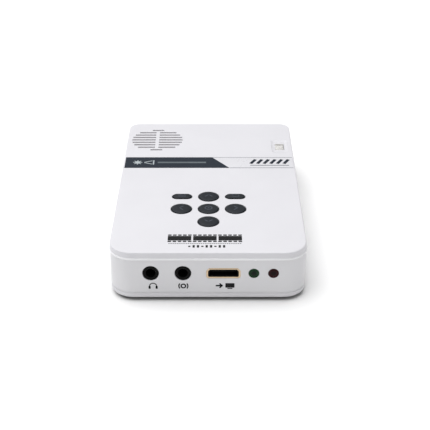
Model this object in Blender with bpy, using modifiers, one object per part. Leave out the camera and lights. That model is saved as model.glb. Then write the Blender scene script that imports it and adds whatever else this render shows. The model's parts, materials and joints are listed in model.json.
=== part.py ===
"""Pocket home projector, modelled as the assembly that comes apart on a bench.

Frame: +Z up, the socket panel faces -Y, the lens faces +Y, and the origin is under the middle of the
whole object at the height of the surface that its feet stand on. Sizes are in metres through MM.
Lengths along the case are counted from the socket panel's face, NEAR_Y, or from the lens face, FAR_Y.
"""

import math

import bmesh
import bpy
from mathutils import Matrix, Vector

MM = 0.001

# Case
CASE_WIDTH = 71.0 * MM
CASE_LENGTH = 112.0 * MM
CORNER_RADIUS = 8.5 * MM
FAR_CORNER_RADIUS = 4.6 * MM
TOP_HEIGHT = 2.5 * MM
FRAME_HEIGHT = 13.8 * MM
BOTTOM_HEIGHT = 2.2 * MM
FOOT_STANDOFF = 1.2 * MM
WALL = 1.6 * MM
PLATE = 1.6 * MM
LIP_THICKNESS = 0.8 * MM
TOP_LIP_DEPTH = 1.5 * MM
BOTTOM_LIP_HEIGHT = 1.2 * MM
TOP_EDGE_ROUND = 0.7 * MM
SEAM_CHAMFER = 0.35 * MM
FRAME_SHOULDER = 0.6 * MM
BOTTOM_EDGE_ROUND = 1.0 * MM
SEAM = 0.3 * MM  # gap between two case pieces
GAP = 0.3 * MM  # clearance between pieces that seat on each other
CORNER_SEGMENTS = 8

# Screws, feet and tripod insert
SCREW_INSET = 6.0 * MM
SCREW_RADIUS = 0.9 * MM
SCREW_LENGTH = 10.0 * MM
SCREW_HEAD_RADIUS = 1.8 * MM
SCREW_HEAD_HEIGHT = 1.2 * MM
SCREW_HEAD_EDGE = 0.3 * MM
SCREW_SINK = 1.7 * MM  # from the case's lowest face up to the seat under the head
DRIVE_RADIUS = 0.9 * MM
DRIVE_DEPTH = 0.7 * MM
BOSS_RADIUS = 2.9 * MM
TOP_BOSS_RADIUS = 2.3 * MM
BOTTOM_BOSS_HEIGHT = 4.9 * MM
FOOT_RADIUS = 3.75 * MM
FOOT_SIDE_INSET = 10.5 * MM
FOOT_END_INSET = 11.5 * MM
FOOT_RECESS = 0.6 * MM
FOOT_EDGE = 0.3 * MM
TRIPOD_BORE_RADIUS = 3.175 * MM
TRIPOD_WALL = 1.6 * MM
TRIPOD_GROOVE = 0.5 * MM
TRIPOD_CAP = 0.6 * MM
TRIPOD_BOSS_WALL = 1.3 * MM
TRIPOD_FROM_FAR = 49.5 * MM

# Keys
KEY_RADIUS = 3.9 * MM
KEY_PILL_WIDTH = 7.5 * MM
KEY_PILL_DEPTH = 3.7 * MM
KEY_PILL_FLAT = 0.01 * MM  # straight stretch left at each round end
KEY_FLANGE = 0.65 * MM
KEY_FLANGE_HEIGHT = 0.8 * MM
KEY_FLANGE_GAP_X = 1.2 * MM
KEY_FLANGE_GAP_Y = 0.75 * MM
KEY_PROUD = 0.4 * MM
KEY_EDGE = 0.3 * MM
KEY_STEM_RADIUS = 1.2 * MM
KEY_STEM_ENTRY = 0.35 * MM
KEY_TRAVEL = 0.4 * MM
KEY_CLEARANCE = 0.25 * MM
KEYS_FROM_NEAR = 32.3 * MM
SWITCH_SIZE = 4.6 * MM
SWITCH_CORNER = 0.4 * MM
SWITCH_HEIGHT = 1.8 * MM
BOARD_THICKNESS = 1.2 * MM
STAKE_POST_RADIUS = 1.3 * MM
STAKE_RADIUS = 0.7 * MM
STAKE_TAIL = 0.6 * MM
KEYPAD_MARGIN = 1.5 * MM

# Power slide switch
SLIDE_FROM_SIDE = 5.4 * MM
SLIDE_FROM_FAR = 24.0 * MM
SLIDE_SLOT_WIDTH = 3.8 * MM
SLIDE_SLOT_LENGTH = 6.1 * MM
SLIDE_DISH_WIDTH = 6.9 * MM
SLIDE_DISH_LENGTH = 12.2 * MM
SLIDE_DISH_DEPTH = 0.35 * MM
SLIDE_DISH_CORNER = 1.2 * MM
SLIDE_TRAVEL = 2.0 * MM
SLIDE_CLEARANCE = 0.25 * MM
SLIDE_FLANGE = 0.45 * MM
SLIDE_KNOB_SINK = 0.1 * MM  # the knob stays this far under the case's top face
SLIDE_RIB_COUNT = 3
SLIDE_RIB_HEIGHT = 0.3 * MM
SLIDE_BODY_LENGTH = 9.0 * MM
SLIDE_BODY_HEIGHT = 2.6 * MM
SLIDE_STEM = 1.4 * MM

# Stripe label and loudspeaker grille
STRIPE_FROM_FAR = 44.9 * MM
STRIPE_DEPTH = 10.0 * MM
STRIPE_THICKNESS = 0.35 * MM
STRIPE_SIDE_GAP = 0.2 * MM
GRILLE_RADIUS = 10.9 * MM
GRILLE_TO_SIDE = 2.1 * MM  # from the grille's circle to the case's side
GRILLE_TO_FAR = 6.6 * MM
GRILLE_ROWS = 9
GRILLE_FIRST_ROW = 0.98 * MM  # from the circle's edge to the middle of the first row
GRILLE_SLOT = 1.2 * MM
GRILLE_RIB = 1.5 * MM
GRILLE_END_SLOT = 5.0 * MM
GRILLE_MARGIN = 0.7 * MM  # of the round room around the slots, which the cloth fills
CLOTH_THICKNESS = 0.2 * MM

# Socket panel
IO_DROP = 8.5 * MM  # below the top face
IO_SHARES = {"headphone": -0.770, "av": -0.338, "video": 0.205, "green": 0.613, "red": 0.876}
JACK_BODY_HEIGHT = 4.2 * MM
JACK_BODY_WIDTH = 6.4 * MM
JACK_BODY_LENGTH = 12.0 * MM
JACK_COLLAR_RADIUS = 2.85 * MM
JACK_BORE_RADIUS = 1.8 * MM
JACK_CLEARANCE = 0.15 * MM
VIDEO_OPENING = (10.4 * MM, 2.45 * MM)
VIDEO_SHELL_WALL = 0.4 * MM
VIDEO_LIP_WALL = 0.8 * MM
VIDEO_LIP_DEPTH = 0.7 * MM
VIDEO_DEPTH = 7.5 * MM
VIDEO_CORNER_CUT = 0.8 * MM
VIDEO_LEG = (1.0 * MM, 2.0 * MM)
VIDEO_TONGUE = (8.4 * MM, 0.6 * MM)
VIDEO_TONGUE_SETBACK = 1.4 * MM
INDICATOR_RADIUS = 1.5 * MM
INDICATOR_LENGTH = 5.6 * MM
INDICATOR_FLANGE = 0.3 * MM
INDICATOR_BASE = 0.9 * MM  # thickness of the flanged base
INDICATOR_LEADS = (2.6 * MM, 0.5 * MM)
DOME_STEPS = 4
INDICATOR_CLEARANCE = 0.2 * MM
PANEL_SETBACK = 0.15 * MM  # sockets sit this far inside the panel's face
DC_FROM_NEAR = 30.0 * MM
DC_BODY = (9.0 * MM, 7.0 * MM, 5.0 * MM)
DC_COLLAR_RADIUS = 2.4 * MM
DC_BORE_RADIUS = 1.75 * MM
DC_PIN_RADIUS = 0.65 * MM
DC_BACK_WALL = 1.5 * MM
CARD_FROM_NEAR = 28.0 * MM
CARD_BODY = (14.5 * MM, 13.8 * MM, 1.7 * MM)
CARD_SLOT = (11.4 * MM, 0.9 * MM)
CARD_SLOT_DEPTH = 12.0 * MM

# Boards and battery
BOARD_FROM_NEAR = 3.5 * MM
BOARD_FROM_FAR = 53.0 * MM
BOARD_MARGIN = 1.0 * MM  # from a standoff to the board's edge
BOARD_NECK_LENGTH = 12.0 * MM
STANDOFF_RADIUS = 1.8 * MM
PROCESSOR_SIZE = 14.0 * MM
PROCESSOR_HEIGHT = 1.2 * MM
PLUG_BLOCK = (5.0 * MM, 3.4 * MM, 2.6 * MM)
BATTERY_WIDTH = 38.0 * MM
BATTERY_FROM_NEAR = 8.0 * MM
BATTERY_CORNER = 1.5 * MM
LEAD_RADIUS = 0.6 * MM

# Cooling
BLOWER_WIDTH = 25.0 * MM
BLOWER_LENGTH = 26.0 * MM
BLOWER_AIR_GAP = 2.0 * MM  # air room between the intake and the loudspeaker above
BLOWER_WALL = 0.9 * MM
BLOWER_COVER = 0.7 * MM
BLOWER_INTAKE_RADIUS = 7.0 * MM
BLOWER_FROM_FAR = 23.0 * MM
IMPELLER_RADIUS = 9.6 * MM
IMPELLER_SWEEP = 0.9 * MM  # air gap between the impeller and the volute
HUB_RADIUS = 3.4 * MM
SPINDLE_RADIUS = 0.8 * MM
SPINDLE_CLEARANCE = 0.25 * MM
SPINDLE_DROP = 1.2 * MM  # from the blower's rim down to the spindle's end
BLADE_COUNT = 13
BLADE_THICKNESS = 0.6 * MM
BLADE_LEAN_DEG = 28.0
SINK_WIDTH = 4.4 * MM
SINK_LENGTH = 22.0 * MM
SINK_WINDOWS = 12
SINK_FIN = 0.6 * MM
SINK_SKIN = 0.7 * MM
PIPE_RADIUS = 1.1 * MM
PIPE_TURN = 4.0 * MM  # reach of the pipe's bend
VENT_COUNT = 8
VENT_PITCH = 2.6 * MM
VENT_SLOT = 1.4 * MM
VENT_HEIGHT = 7.0 * MM

# Loudspeaker
SPEAKER_INSET = 0.9 * MM  # the basket is this much smaller than the grille
SPEAKER_RIM = 1.1 * MM
SPEAKER_DEPTH = 5.4 * MM
MAGNET_RADIUS = 6.0 * MM
POLE_RADIUS = 2.3 * MM
COIL_GAP = 0.3 * MM
COIL_THICKNESS = 0.6 * MM
CONE_THICKNESS = 0.4 * MM
CONE_DOME = 0.6 * MM
BASKET_BOWL = 2.9 * MM
BASKET_FLANGE = 1.2 * MM
BASKET_SKIN = 0.5 * MM
MAGNET_PLATE = 0.9 * MM
CONE_TRAVEL = 0.25 * MM

# Optical engine and lens
LENS_X = 13.0 * MM
ENGINE_WIDTH = 25.0 * MM
ENGINE_LENGTH = 23.0 * MM
ENGINE_FROM_FAR = 41.0 * MM  # near wall of the engine's box
ENGINE_WALL = 1.2 * MM
ENGINE_FLOOR = 1.0 * MM
ENGINE_HEADROOM = 2.5 * MM  # from the box's rim to the case's ceiling
ENGINE_LID = 0.8 * MM
BARREL_RADIUS = 4.0 * MM
BARREL_LENGTH = 14.0 * MM
BARREL_CLEARANCE = 0.2 * MM
BARREL_TRAVEL = 1.0 * MM
BARREL_WALL = 0.7 * MM
TUBE_WALL = 1.5 * MM
RING_WALL = 1.1 * MM
RING_FLANGE = 0.8 * MM
RING_FLANGE_THICKNESS = 1.4 * MM
RING_PROUD = 1.5 * MM
RING_EDGE = 0.3 * MM
RING_FLUTES = 18
RING_FLUTE_DEPTH = 0.25 * MM
RING_CLEARANCE = 0.25 * MM
LENS_THICKNESS = 2.4 * MM
LENS_SEAT = 0.8 * MM
LENS_CLEARANCE = 0.2 * MM
SOURCE_BOARD = 8.0 * MM
SOURCE_BOARD_THICKNESS = 1.0 * MM
SOURCE_DOME_RADIUS = 1.9 * MM
SOURCE_SPACING = 11.5 * MM
IMAGER = (1.5 * MM, 11.0 * MM, 8.0 * MM)
IMAGER_WINDOW = (8.0 * MM, 5.6 * MM)
PRISM_LEG = 8.5 * MM

# Levels and faces worked out from the sizes above
BASE_Z = FOOT_STANDOFF
FLOOR_Z = BASE_Z + PLATE
BOTTOM_RIM_Z = BASE_Z + BOTTOM_HEIGHT
FRAME_Z = BOTTOM_RIM_Z + SEAM
FRAME_TOP_Z = FRAME_Z + FRAME_HEIGHT
SKIRT_Z = FRAME_TOP_Z + SEAM
LID_Z = SKIRT_Z + TOP_HEIGHT
CEILING_Z = LID_Z - PLATE
HALF_WIDTH = CASE_WIDTH / 2
NEAR_Y = -(CASE_LENGTH + RING_PROUD) / 2
FAR_Y = NEAR_Y + CASE_LENGTH
INNER_X = HALF_WIDTH - WALL - GAP - LIP_THICKNESS - GAP  # half of the room inside the lips
IO_Z = LID_Z - IO_DROP
BOARD_TOP_Z = IO_Z - JACK_BODY_HEIGHT / 2 - GAP
BOARD_Z = BOARD_TOP_Z - BOARD_THICKNESS
PART_SEAT_Z = BOARD_TOP_Z + GAP
FLANGE_TOP_Z = CEILING_Z - GAP
FLANGE_Z = FLANGE_TOP_Z - KEY_FLANGE_HEIGHT
SWITCH_TOP_Z = FLANGE_Z - KEY_TRAVEL - GAP
SWITCH_Z = SWITCH_TOP_Z - SWITCH_HEIGHT
KEYPAD_TOP_Z = SWITCH_Z - GAP
KEYPAD_Z = KEYPAD_TOP_Z - BOARD_THICKNESS
LENS_Z = (FRAME_Z + FRAME_TOP_Z) / 2
REST_Z = FLOOR_Z + GAP  # underside of what stands on the bottom cover's plate

SHADES = {
    "white_plastic": ((0.80, 0.80, 0.82), 0.38, 0.0),
    "white_frame": ((0.74, 0.74, 0.76), 0.38, 0.0),
    "stripe_print": ((0.06, 0.075, 0.08), 0.35, 0.0),
    "key_plastic": ((0.035, 0.04, 0.05), 0.45, 0.0),
    "black_plastic": ((0.01, 0.01, 0.01), 0.4, 0.0),
    "switch_white": ((0.72, 0.71, 0.68), 0.45, 0.0),
    "board_green": ((0.02, 0.16, 0.07), 0.5, 0.0),
    "gold_plate": ((0.75, 0.55, 0.25), 0.3, 1.0),
    "steel": ((0.6, 0.6, 0.6), 0.35, 1.0),
    "brass": ((0.75, 0.6, 0.3), 0.35, 1.0),
    "copper": ((0.8, 0.42, 0.28), 0.35, 1.0),
    "aluminium": ((0.75, 0.75, 0.76), 0.4, 1.0),
    "rubber": ((0.02, 0.02, 0.02), 0.8, 0.0),
    "battery_wrap": ((0.35, 0.4, 0.5), 0.4, 0.0),
    "cloth": ((0.35, 0.32, 0.29), 0.9, 0.0),
    "paper_cone": ((0.2, 0.18, 0.16), 0.9, 0.0),
    "green_lens": ((0.02, 0.16, 0.05), 0.15, 0.0),
    "red_lens": ((0.20, 0.02, 0.02), 0.15, 0.0),
    "glass": ((0.7, 0.75, 0.8), 0.05, 0.0),
    "lead_black": ((0.02, 0.02, 0.02), 0.5, 0.0),
}


# ---------------------------------------------------------------- scene, finishes and objects


def clear_scene():
    for obj in list(bpy.data.objects):
        bpy.data.objects.remove(obj, do_unlink=True)


def new_collection(name):
    collection = bpy.data.collections.new(name)
    bpy.context.scene.collection.children.link(collection)
    return collection


def shade(name):
    """The Principled material of one finish, made once."""
    found = bpy.data.materials.get(name)
    if found:
        return found
    colour, roughness, metallic = SHADES[name]
    made = bpy.data.materials.new(name)
    made.use_nodes = True
    surface = made.node_tree.nodes["Principled BSDF"]
    surface.inputs["Base Color"].default_value = (*colour, 1.0)
    surface.inputs["Roughness"].default_value = roughness
    surface.inputs["Metallic"].default_value = metallic
    return made


def mesh_from(name, shapes, origin=(0, 0, 0)):
    """One mesh of the given bmesh shapes, with its points counted from origin. The shapes are freed."""
    mesh = bpy.data.meshes.new(name)
    whole = bmesh.new()
    for shape in shapes:
        shape.to_mesh(mesh)
        whole.from_mesh(mesh)
        shape.free()
    whole.transform(Matrix.Translation(-Vector(origin)))
    whole.to_mesh(mesh)
    whole.free()
    return mesh


def helper(name, shapes, origin):
    """A hidden object that a Boolean joins to a piece or cuts from it."""
    obj = bpy.data.objects.new(name, mesh_from(name, shapes, origin))
    obj.location = origin
    obj.hide_render = True
    obj.display_type = "WIRE"
    HELPERS.objects.link(obj)
    return obj


def smooth(mesh):
    mesh.shade_smooth()
    mesh.set_sharp_from_angle(angle=math.radians(35))


def place(obj, finish):
    obj.data.materials.append(shade(finish))
    PIECES.objects.link(obj)
    return obj


def axis(name, centre, along="Z"):
    """An empty on the line that a turned group shares; its own Z is that line and faces +Z or +Y."""
    empty = bpy.data.objects.new(name, None)
    empty.location = centre
    empty.empty_display_size = 5 * MM
    if along == "Y":
        empty.rotation_euler = (-math.pi / 2, 0.0, 0.0)
    PIECES.objects.link(empty)
    return empty


def work(obj, steps, origin=(0, 0, 0)):
    """Adds the Boolean steps to obj: ("join" or "cut", [shapes]) in the order that they are done."""
    for number, (kind, shapes) in enumerate(steps):
        modifier = obj.modifiers.new(f"{kind}_{number}", "BOOLEAN")
        modifier.operation = "UNION" if kind == "join" else "DIFFERENCE"
        modifier.solver = "EXACT"
        modifier.object = helper(f"{obj.name}_{kind}_{number}", shapes, origin)


def piece(name, finish, base, steps=(), origin=(0, 0, 0)):
    """A named piece from one closed base shape and Boolean steps, with its origin where it moves or sits."""
    obj = bpy.data.objects.new(name, mesh_from(name, [base], origin))
    obj.location = origin
    smooth(obj.data)
    work(obj, steps, origin)
    return place(obj, finish)


def turned(name, finish, profile, line, sides=32, steps=(), closed=False):
    """A turned piece on the axis empty named line: profile holds (radius, height) down its outer side."""
    mesh = bpy.data.meshes.new(name)
    outline = bmesh.new()
    points = [outline.verts.new((radius, 0.0, height)) for radius, height in profile]
    for first, second in zip(points, points[1:]):
        outline.edges.new((first, second))
    if closed:
        outline.edges.new((points[-1], points[0]))
    outline.to_mesh(mesh)
    outline.free()
    obj = bpy.data.objects.new(name, mesh)
    obj.parent = line
    screw = obj.modifiers.new("turn", "SCREW")
    screw.axis = "Z"
    screw.angle = 2 * math.pi
    screw.steps = sides
    screw.render_steps = sides
    screw.use_merge_vertices = True
    screw.merge_threshold = 0.00001
    screw.use_smooth_shade = True
    work(obj, steps)
    return place(obj, finish)


# ---------------------------------------------------------------- shapes


def slab(low, high, corner=0.0, top=0.0, bottom=0.0, far_corner=0.0, segments=CORNER_SEGMENTS,
         edge_segments=2):
    """Upright block between two opposite corners, with rounded upright, top and bottom edges."""
    low, high = Vector(low), Vector(high)
    shape = bmesh.new()
    size = high - low
    fit = Matrix.Translation((low + high) / 2) @ Matrix.Diagonal((*size, 1.0))
    bmesh.ops.create_cube(shape, size=1.0, matrix=fit)
    if corner:
        upright = [e for e in shape.edges if abs(e.verts[0].co.z - e.verts[1].co.z) > size.z / 2]
        if far_corner:
            middle = (low.y + high.y) / 2
            bevel(shape, [e for e in upright if e.verts[0].co.y > middle], far_corner, segments)
            upright = [e for e in shape.edges if abs(e.verts[0].co.z - e.verts[1].co.z) > size.z / 2
                       and e.verts[0].co.y < middle]
        bevel(shape, upright, corner, segments)
    for level, amount in ((high.z, top), (low.z, bottom)):
        if amount:
            rim = [e for e in shape.edges if is_rim(e, level)]
            bevel(shape, rim, amount, edge_segments)
    return shape


def is_rim(edge, level):
    """Whether both ends of edge lie at this height and one of its faces doesn't."""
    flat = all(abs(v.co.z - level) < 1e-7 for v in edge.verts)
    return flat and any(abs(f.normal.z) < 0.5 for f in edge.link_faces)


def bevel(shape, edges, amount, segments):
    bmesh.ops.bevel(
        shape, geom=edges, offset=amount, offset_type="OFFSET", segments=segments,
        profile=0.5, affect="EDGES", material=-1, clamp_overlap=True,
    )


def case_slab(inset, low_z, high_z, top=0.0, bottom=0.0):
    """Block with the case's outline, drawn in by inset, between two heights. Its far corners are tighter."""
    return slab(
        (-HALF_WIDTH + inset, NEAR_Y + inset, low_z), (HALF_WIDTH - inset, FAR_Y - inset, high_z),
        corner=CORNER_RADIUS - inset, far_corner=FAR_CORNER_RADIUS - inset, top=top, bottom=bottom,
    )


def block(centre_x, centre_y, low_z, width, length, height, corner=0.0, **rounding):
    """Upright block on a centre, from the height of its underside."""
    low = (centre_x - width / 2, centre_y - length / 2, low_z)
    high = (centre_x + width / 2, centre_y + length / 2, low_z + height)
    return slab(low, high, corner=corner, **rounding)


AXES = {"X": Matrix.Rotation(math.pi / 2, 4, "Y"), "Y": Matrix.Rotation(-math.pi / 2, 4, "X"), "Z": Matrix()}


def rod(start, length, radius, along="Z", sides=24):
    """Round bar from its start, running length along an axis."""
    shape = bmesh.new()
    stand = Matrix.Translation(Vector(start)) @ AXES[along] @ Matrix.Translation((0, 0, length / 2))
    bmesh.ops.create_cone(
        shape, cap_ends=True, segments=sides, radius1=radius, radius2=radius, depth=length, matrix=stand,
    )
    return shape


def socket_block(centre_x, centre_z, width, height, cut, near, deep):
    """Block running along Y whose two upper edges are cut off, as the mouth of the video socket is."""
    shape = slab(
        (centre_x - width / 2, near, centre_z - height / 2),
        (centre_x + width / 2, near + deep, centre_z + height / 2),
    )
    upper = [
        e for e in shape.edges
        if all(v.co.z > centre_z for v in e.verts) and abs(e.verts[0].co.y - e.verts[1].co.y) > deep / 2
    ]
    bevel(shape, upper, cut, 1)
    return shape


def tube(name, finish, route, radius, steps_each=3):
    """Round bar along a smooth curve through the route's points, as a capped curve object."""
    knots = [Vector(p) for p in route]
    knots = [2 * knots[0] - knots[1], *knots, 2 * knots[-1] - knots[-2]]
    line = []
    for a, b, c, d in zip(knots, knots[1:], knots[2:], knots[3:]):
        for step in range(steps_each):
            t = step / steps_each
            line.append(0.5 * (2 * b + (c - a) * t + (2 * a - 5 * b + 4 * c - d) * t**2
                               + (3 * b - a - 3 * c + d) * t**3))
    line.append(knots[-2])
    curve = bpy.data.curves.new(name, "CURVE")
    curve.dimensions = "3D"
    curve.fill_mode = "FULL"
    curve.bevel_depth = radius
    curve.bevel_resolution = 2
    curve.use_fill_caps = True
    spline = curve.splines.new("POLY")
    spline.points.add(len(line) - 1)
    for point, co in zip(spline.points, line):
        point.co = (*co, 1.0)
    return place(bpy.data.objects.new(name, curve), finish)


# ---------------------------------------------------------------- places shared by several pieces


def io_x(name):
    """Middle of a socket on the near panel, as a share of the room between the screw bosses."""
    return IO_SHARES[name] * (HALF_WIDTH - SCREW_INSET - BOSS_RADIUS)


def screw_places():
    return [(side * (HALF_WIDTH - SCREW_INSET), y) for y in (NEAR_Y + SCREW_INSET, FAR_Y - SCREW_INSET)
            for side in (-1, 1)]


def foot_places():
    return [(side * (HALF_WIDTH - FOOT_SIDE_INSET), y)
            for y in (NEAR_Y + FOOT_END_INSET, FAR_Y - FOOT_END_INSET) for side in (-1, 1)]


def key_places():
    """(name, x, y, round or not) of each key."""
    pitch_x = 2 * (KEY_RADIUS + KEY_FLANGE) + KEY_FLANGE_GAP_X
    pitch_y = 2 * (KEY_RADIUS + KEY_FLANGE) + KEY_FLANGE_GAP_Y
    middle = NEAR_Y + KEYS_FROM_NEAR
    layout = {
        "menu": (-1, 1, False), "up": (0, 1, True), "back": (1, 1, False),
        "left": (-1, 0, True), "ok": (0, 0, True), "right": (1, 0, True), "down": (0, -1, True),
    }
    return [(name, column * pitch_x, middle + row * pitch_y, is_round)
            for name, (column, row, is_round) in layout.items()]


def key_span():
    """Half width and lowest and highest Y of the room that the keys' flanges take."""
    places = key_places()
    reach = KEY_RADIUS + KEY_FLANGE
    return (max(x for _, x, _, _ in places) + reach, min(y for _, _, y, _ in places) - reach,
            max(y for _, _, y, _ in places) + reach)


def keypad_board_box():
    half, near, far = key_span()
    return half + KEYPAD_MARGIN, near, far + 2 * STAKE_POST_RADIUS + KEYPAD_MARGIN


def keypad_stakes():
    """Posts that hold the keypad board: two beside the lone lower key, two past the upper row."""
    half, near, far = keypad_board_box()
    x = half - STAKE_POST_RADIUS - KEYPAD_MARGIN / 2
    return [(side * x, y) for y in (near + STAKE_POST_RADIUS + KEYPAD_MARGIN / 2,
                                    far - STAKE_POST_RADIUS - KEYPAD_MARGIN / 2) for side in (-1, 1)]


SLIDE_X = HALF_WIDTH - SLIDE_FROM_SIDE
SLIDE_Y = FAR_Y - SLIDE_FROM_FAR
SLIDE_BOARD_LENGTH = SLIDE_BODY_LENGTH + 4 * STAKE_POST_RADIUS + 4 * GAP
SLIDE_BOARD_TOP_Z = SWITCH_TOP_Z - SLIDE_BODY_HEIGHT - GAP
GRILLE_PITCH = 2 * (GRILLE_RADIUS - GRILLE_FIRST_ROW) / (GRILLE_ROWS - 1)
SPEAKER_RADIUS = GRILLE_RADIUS - SPEAKER_INSET
SPEAKER_X = -HALF_WIDTH + GRILLE_TO_SIDE + GRILLE_RADIUS
SPEAKER_Y = FAR_Y - GRILLE_TO_FAR - GRILLE_RADIUS
SPEAKER_RIM_Z = CEILING_Z - GAP - CLOTH_THICKNESS - GAP
SPEAKER_FLOOR_Z = SPEAKER_RIM_Z - SPEAKER_DEPTH
COOLING_TOP_Z = SPEAKER_FLOOR_Z - BLOWER_AIR_GAP  # top of the blower's cover and of the heat sink
BLOWER_RIM_Z = COOLING_TOP_Z - BLOWER_COVER - GAP
BLOWER_X = -INNER_X + SINK_WIDTH + GAP + BLOWER_WIDTH / 2
BLOWER_Y = FAR_Y - BLOWER_FROM_FAR
BOARD_NEAR_Y = NEAR_Y + BOARD_FROM_NEAR
BOARD_FAR_Y = FAR_Y - BOARD_FROM_FAR
TRIPOD_Y = FAR_Y - TRIPOD_FROM_FAR
TRIPOD_RADIUS = TRIPOD_BORE_RADIUS + TRIPOD_WALL
TRIPOD_BOSS_RADIUS = TRIPOD_RADIUS + GAP + TRIPOD_BOSS_WALL
TRIPOD_ROOM_Z = BOARD_Z - GAP - TRIPOD_CAP  # the boss reaches up to the board
ENGINE_NEAR_Y = FAR_Y - ENGINE_FROM_FAR
ENGINE_FAR_Y = ENGINE_NEAR_Y + ENGINE_LENGTH
ENGINE_RIM_Z = CEILING_Z - ENGINE_HEADROOM
TUBE_RADIUS = BARREL_RADIUS + BARREL_CLEARANCE + TUBE_WALL
RING_RADIUS = BARREL_RADIUS + BARREL_CLEARANCE + RING_WALL
RING_FLANGE_FACE_Y = FAR_Y - WALL - GAP
RING_BACK_Y = RING_FLANGE_FACE_Y - RING_FLANGE_THICKNESS
TUBE_END_Y = RING_BACK_Y - GAP
PIPE_Z = COOLING_TOP_Z + GAP + PIPE_RADIUS
SOURCE_BACK_Y = ENGINE_NEAR_Y - GAP - SOURCE_BOARD_THICKNESS


def slide_stakes():
    reach = SLIDE_BODY_LENGTH / 2 + GAP + STAKE_POST_RADIUS
    return [(SLIDE_X, SLIDE_Y - reach), (SLIDE_X, SLIDE_Y + reach)]


def standoff_places():
    inset = STANDOFF_RADIUS + BOARD_MARGIN
    near = NEAR_Y + BOARD_NECK_LENGTH + inset
    return [(side * (INNER_X - inset), y) for y in (near, BOARD_FAR_Y - inset) for side in (-1, 1)]


def lens_room():
    """Round room through a cover's lip for the focus ring's flange, cut inside the case only."""
    radius = RING_RADIUS + RING_FLANGE + 2 * GAP
    return rod((LENS_X, TUBE_END_Y - GAP, LENS_Z), FAR_Y - WALL - TUBE_END_Y + GAP, radius, "Y", 32)


# ---------------------------------------------------------------- case


def grille_slots():
    slots = []
    for row in range(GRILLE_ROWS):
        offset = (row - (GRILLE_ROWS - 1) / 2) * GRILLE_PITCH
        y = SPEAKER_Y + offset
        low, high = CEILING_Z - GAP, LID_Z + GAP
        if row in (0, GRILLE_ROWS - 1):
            spans = [(-GRILLE_END_SLOT / 2, GRILLE_END_SLOT / 2)]
        else:
            reach = math.sqrt(GRILLE_RADIUS**2 - offset**2)
            spans = [(-reach, -GRILLE_RIB / 2), (GRILLE_RIB / 2, reach)]
        for left, right in spans:
            slots.append(slab((SPEAKER_X + left, y - GRILLE_SLOT / 2, low),
                              (SPEAKER_X + right, y + GRILLE_SLOT / 2, high)))
    return slots


def key_hole(x, y, is_round, grow, low_z, high_z):
    """The outline of a key, grown by grow, between two heights."""
    if is_round:
        return rod((x, y, low_z), high_z - low_z, KEY_RADIUS + grow)
    corner = KEY_PILL_DEPTH / 2 + grow - KEY_PILL_FLAT
    return block(x, y, low_z, KEY_PILL_WIDTH + 2 * grow, KEY_PILL_DEPTH + 2 * grow, high_z - low_z, corner)


def make_top_cover():
    wall_and_lip = WALL + GAP + LIP_THICKNESS
    lip = case_slab(WALL + GAP, SKIRT_Z - TOP_LIP_DEPTH, SKIRT_Z + GAP)
    room = case_slab(wall_and_lip, SKIRT_Z - TOP_LIP_DEPTH - GAP, CEILING_Z)
    below_lip = SKIRT_Z - TOP_LIP_DEPTH - GAP
    speaker_room = rod((SPEAKER_X, SPEAKER_Y, below_lip), CEILING_Z - below_lip,
                       GRILLE_RADIUS + GRILLE_MARGIN, sides=32)
    boss_foot = BASE_Z + BOTTOM_BOSS_HEIGHT + GAP
    bosses = [rod((x, y, boss_foot), CEILING_Z - boss_foot + GAP, TOP_BOSS_RADIUS, sides=16)
              for x, y in screw_places()]
    posts, stakes = [], []
    for board_top, places in ((KEYPAD_TOP_Z, keypad_stakes()), (SLIDE_BOARD_TOP_Z, slide_stakes())):
        for x, y in places:
            posts.append(rod((x, y, board_top + GAP), CEILING_Z - board_top, STAKE_POST_RADIUS, sides=12))
            tail = board_top - BOARD_THICKNESS - STAKE_TAIL
            stakes.append(rod((x, y, tail), CEILING_Z - tail, STAKE_RADIUS, sides=12))
    pilots = [rod((x, y, boss_foot - GAP), SCREW_LENGTH - BOTTOM_BOSS_HEIGHT + SCREW_SINK + 2 * GAP,
                  SCREW_RADIUS + GAP, sides=16) for x, y in screw_places()]
    keyways = [key_hole(x, y, is_round, KEY_CLEARANCE, CEILING_Z - GAP, LID_Z + GAP)
               for _, x, y, is_round in key_places()]
    stripe = slab(
        (-HALF_WIDTH + TOP_EDGE_ROUND, FAR_Y - STRIPE_FROM_FAR, LID_Z - STRIPE_THICKNESS - GAP),
        (HALF_WIDTH - TOP_EDGE_ROUND, FAR_Y - STRIPE_FROM_FAR + STRIPE_DEPTH, LID_Z + GAP),
    )
    dish = block(SLIDE_X, SLIDE_Y, LID_Z - SLIDE_DISH_DEPTH, SLIDE_DISH_WIDTH, SLIDE_DISH_LENGTH,
                 SLIDE_DISH_DEPTH + GAP, corner=SLIDE_DISH_CORNER, segments=3)
    slot = block(SLIDE_X, SLIDE_Y, CEILING_Z - GAP, SLIDE_SLOT_WIDTH, SLIDE_SLOT_LENGTH, PLATE + GAP)
    piece(
        "top_cover", "white_plastic",
        case_slab(0.0, SKIRT_Z, LID_Z, top=TOP_EDGE_ROUND, bottom=SEAM_CHAMFER),
        steps=[
            ("join", [lip]), ("cut", [room]), ("cut", [speaker_room, lens_room()]), ("join", bosses),
            ("join", posts), ("join", stakes), ("cut", pilots),
            ("cut", [*keyways, *grille_slots()]), ("cut", [stripe]), ("cut", [dish]), ("cut", [slot]),
        ],
    )


def vent_slots():
    height = LENS_Z - VENT_HEIGHT / 2
    slots = []
    for side in (-1, 1):
        for number in range(VENT_COUNT):
            y = BLOWER_Y + (number - (VENT_COUNT - 1) / 2) * VENT_PITCH
            slots.append(block(side * (HALF_WIDTH - WALL / 2), y, height, 2 * WALL, VENT_SLOT, VENT_HEIGHT))
    return slots


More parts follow.
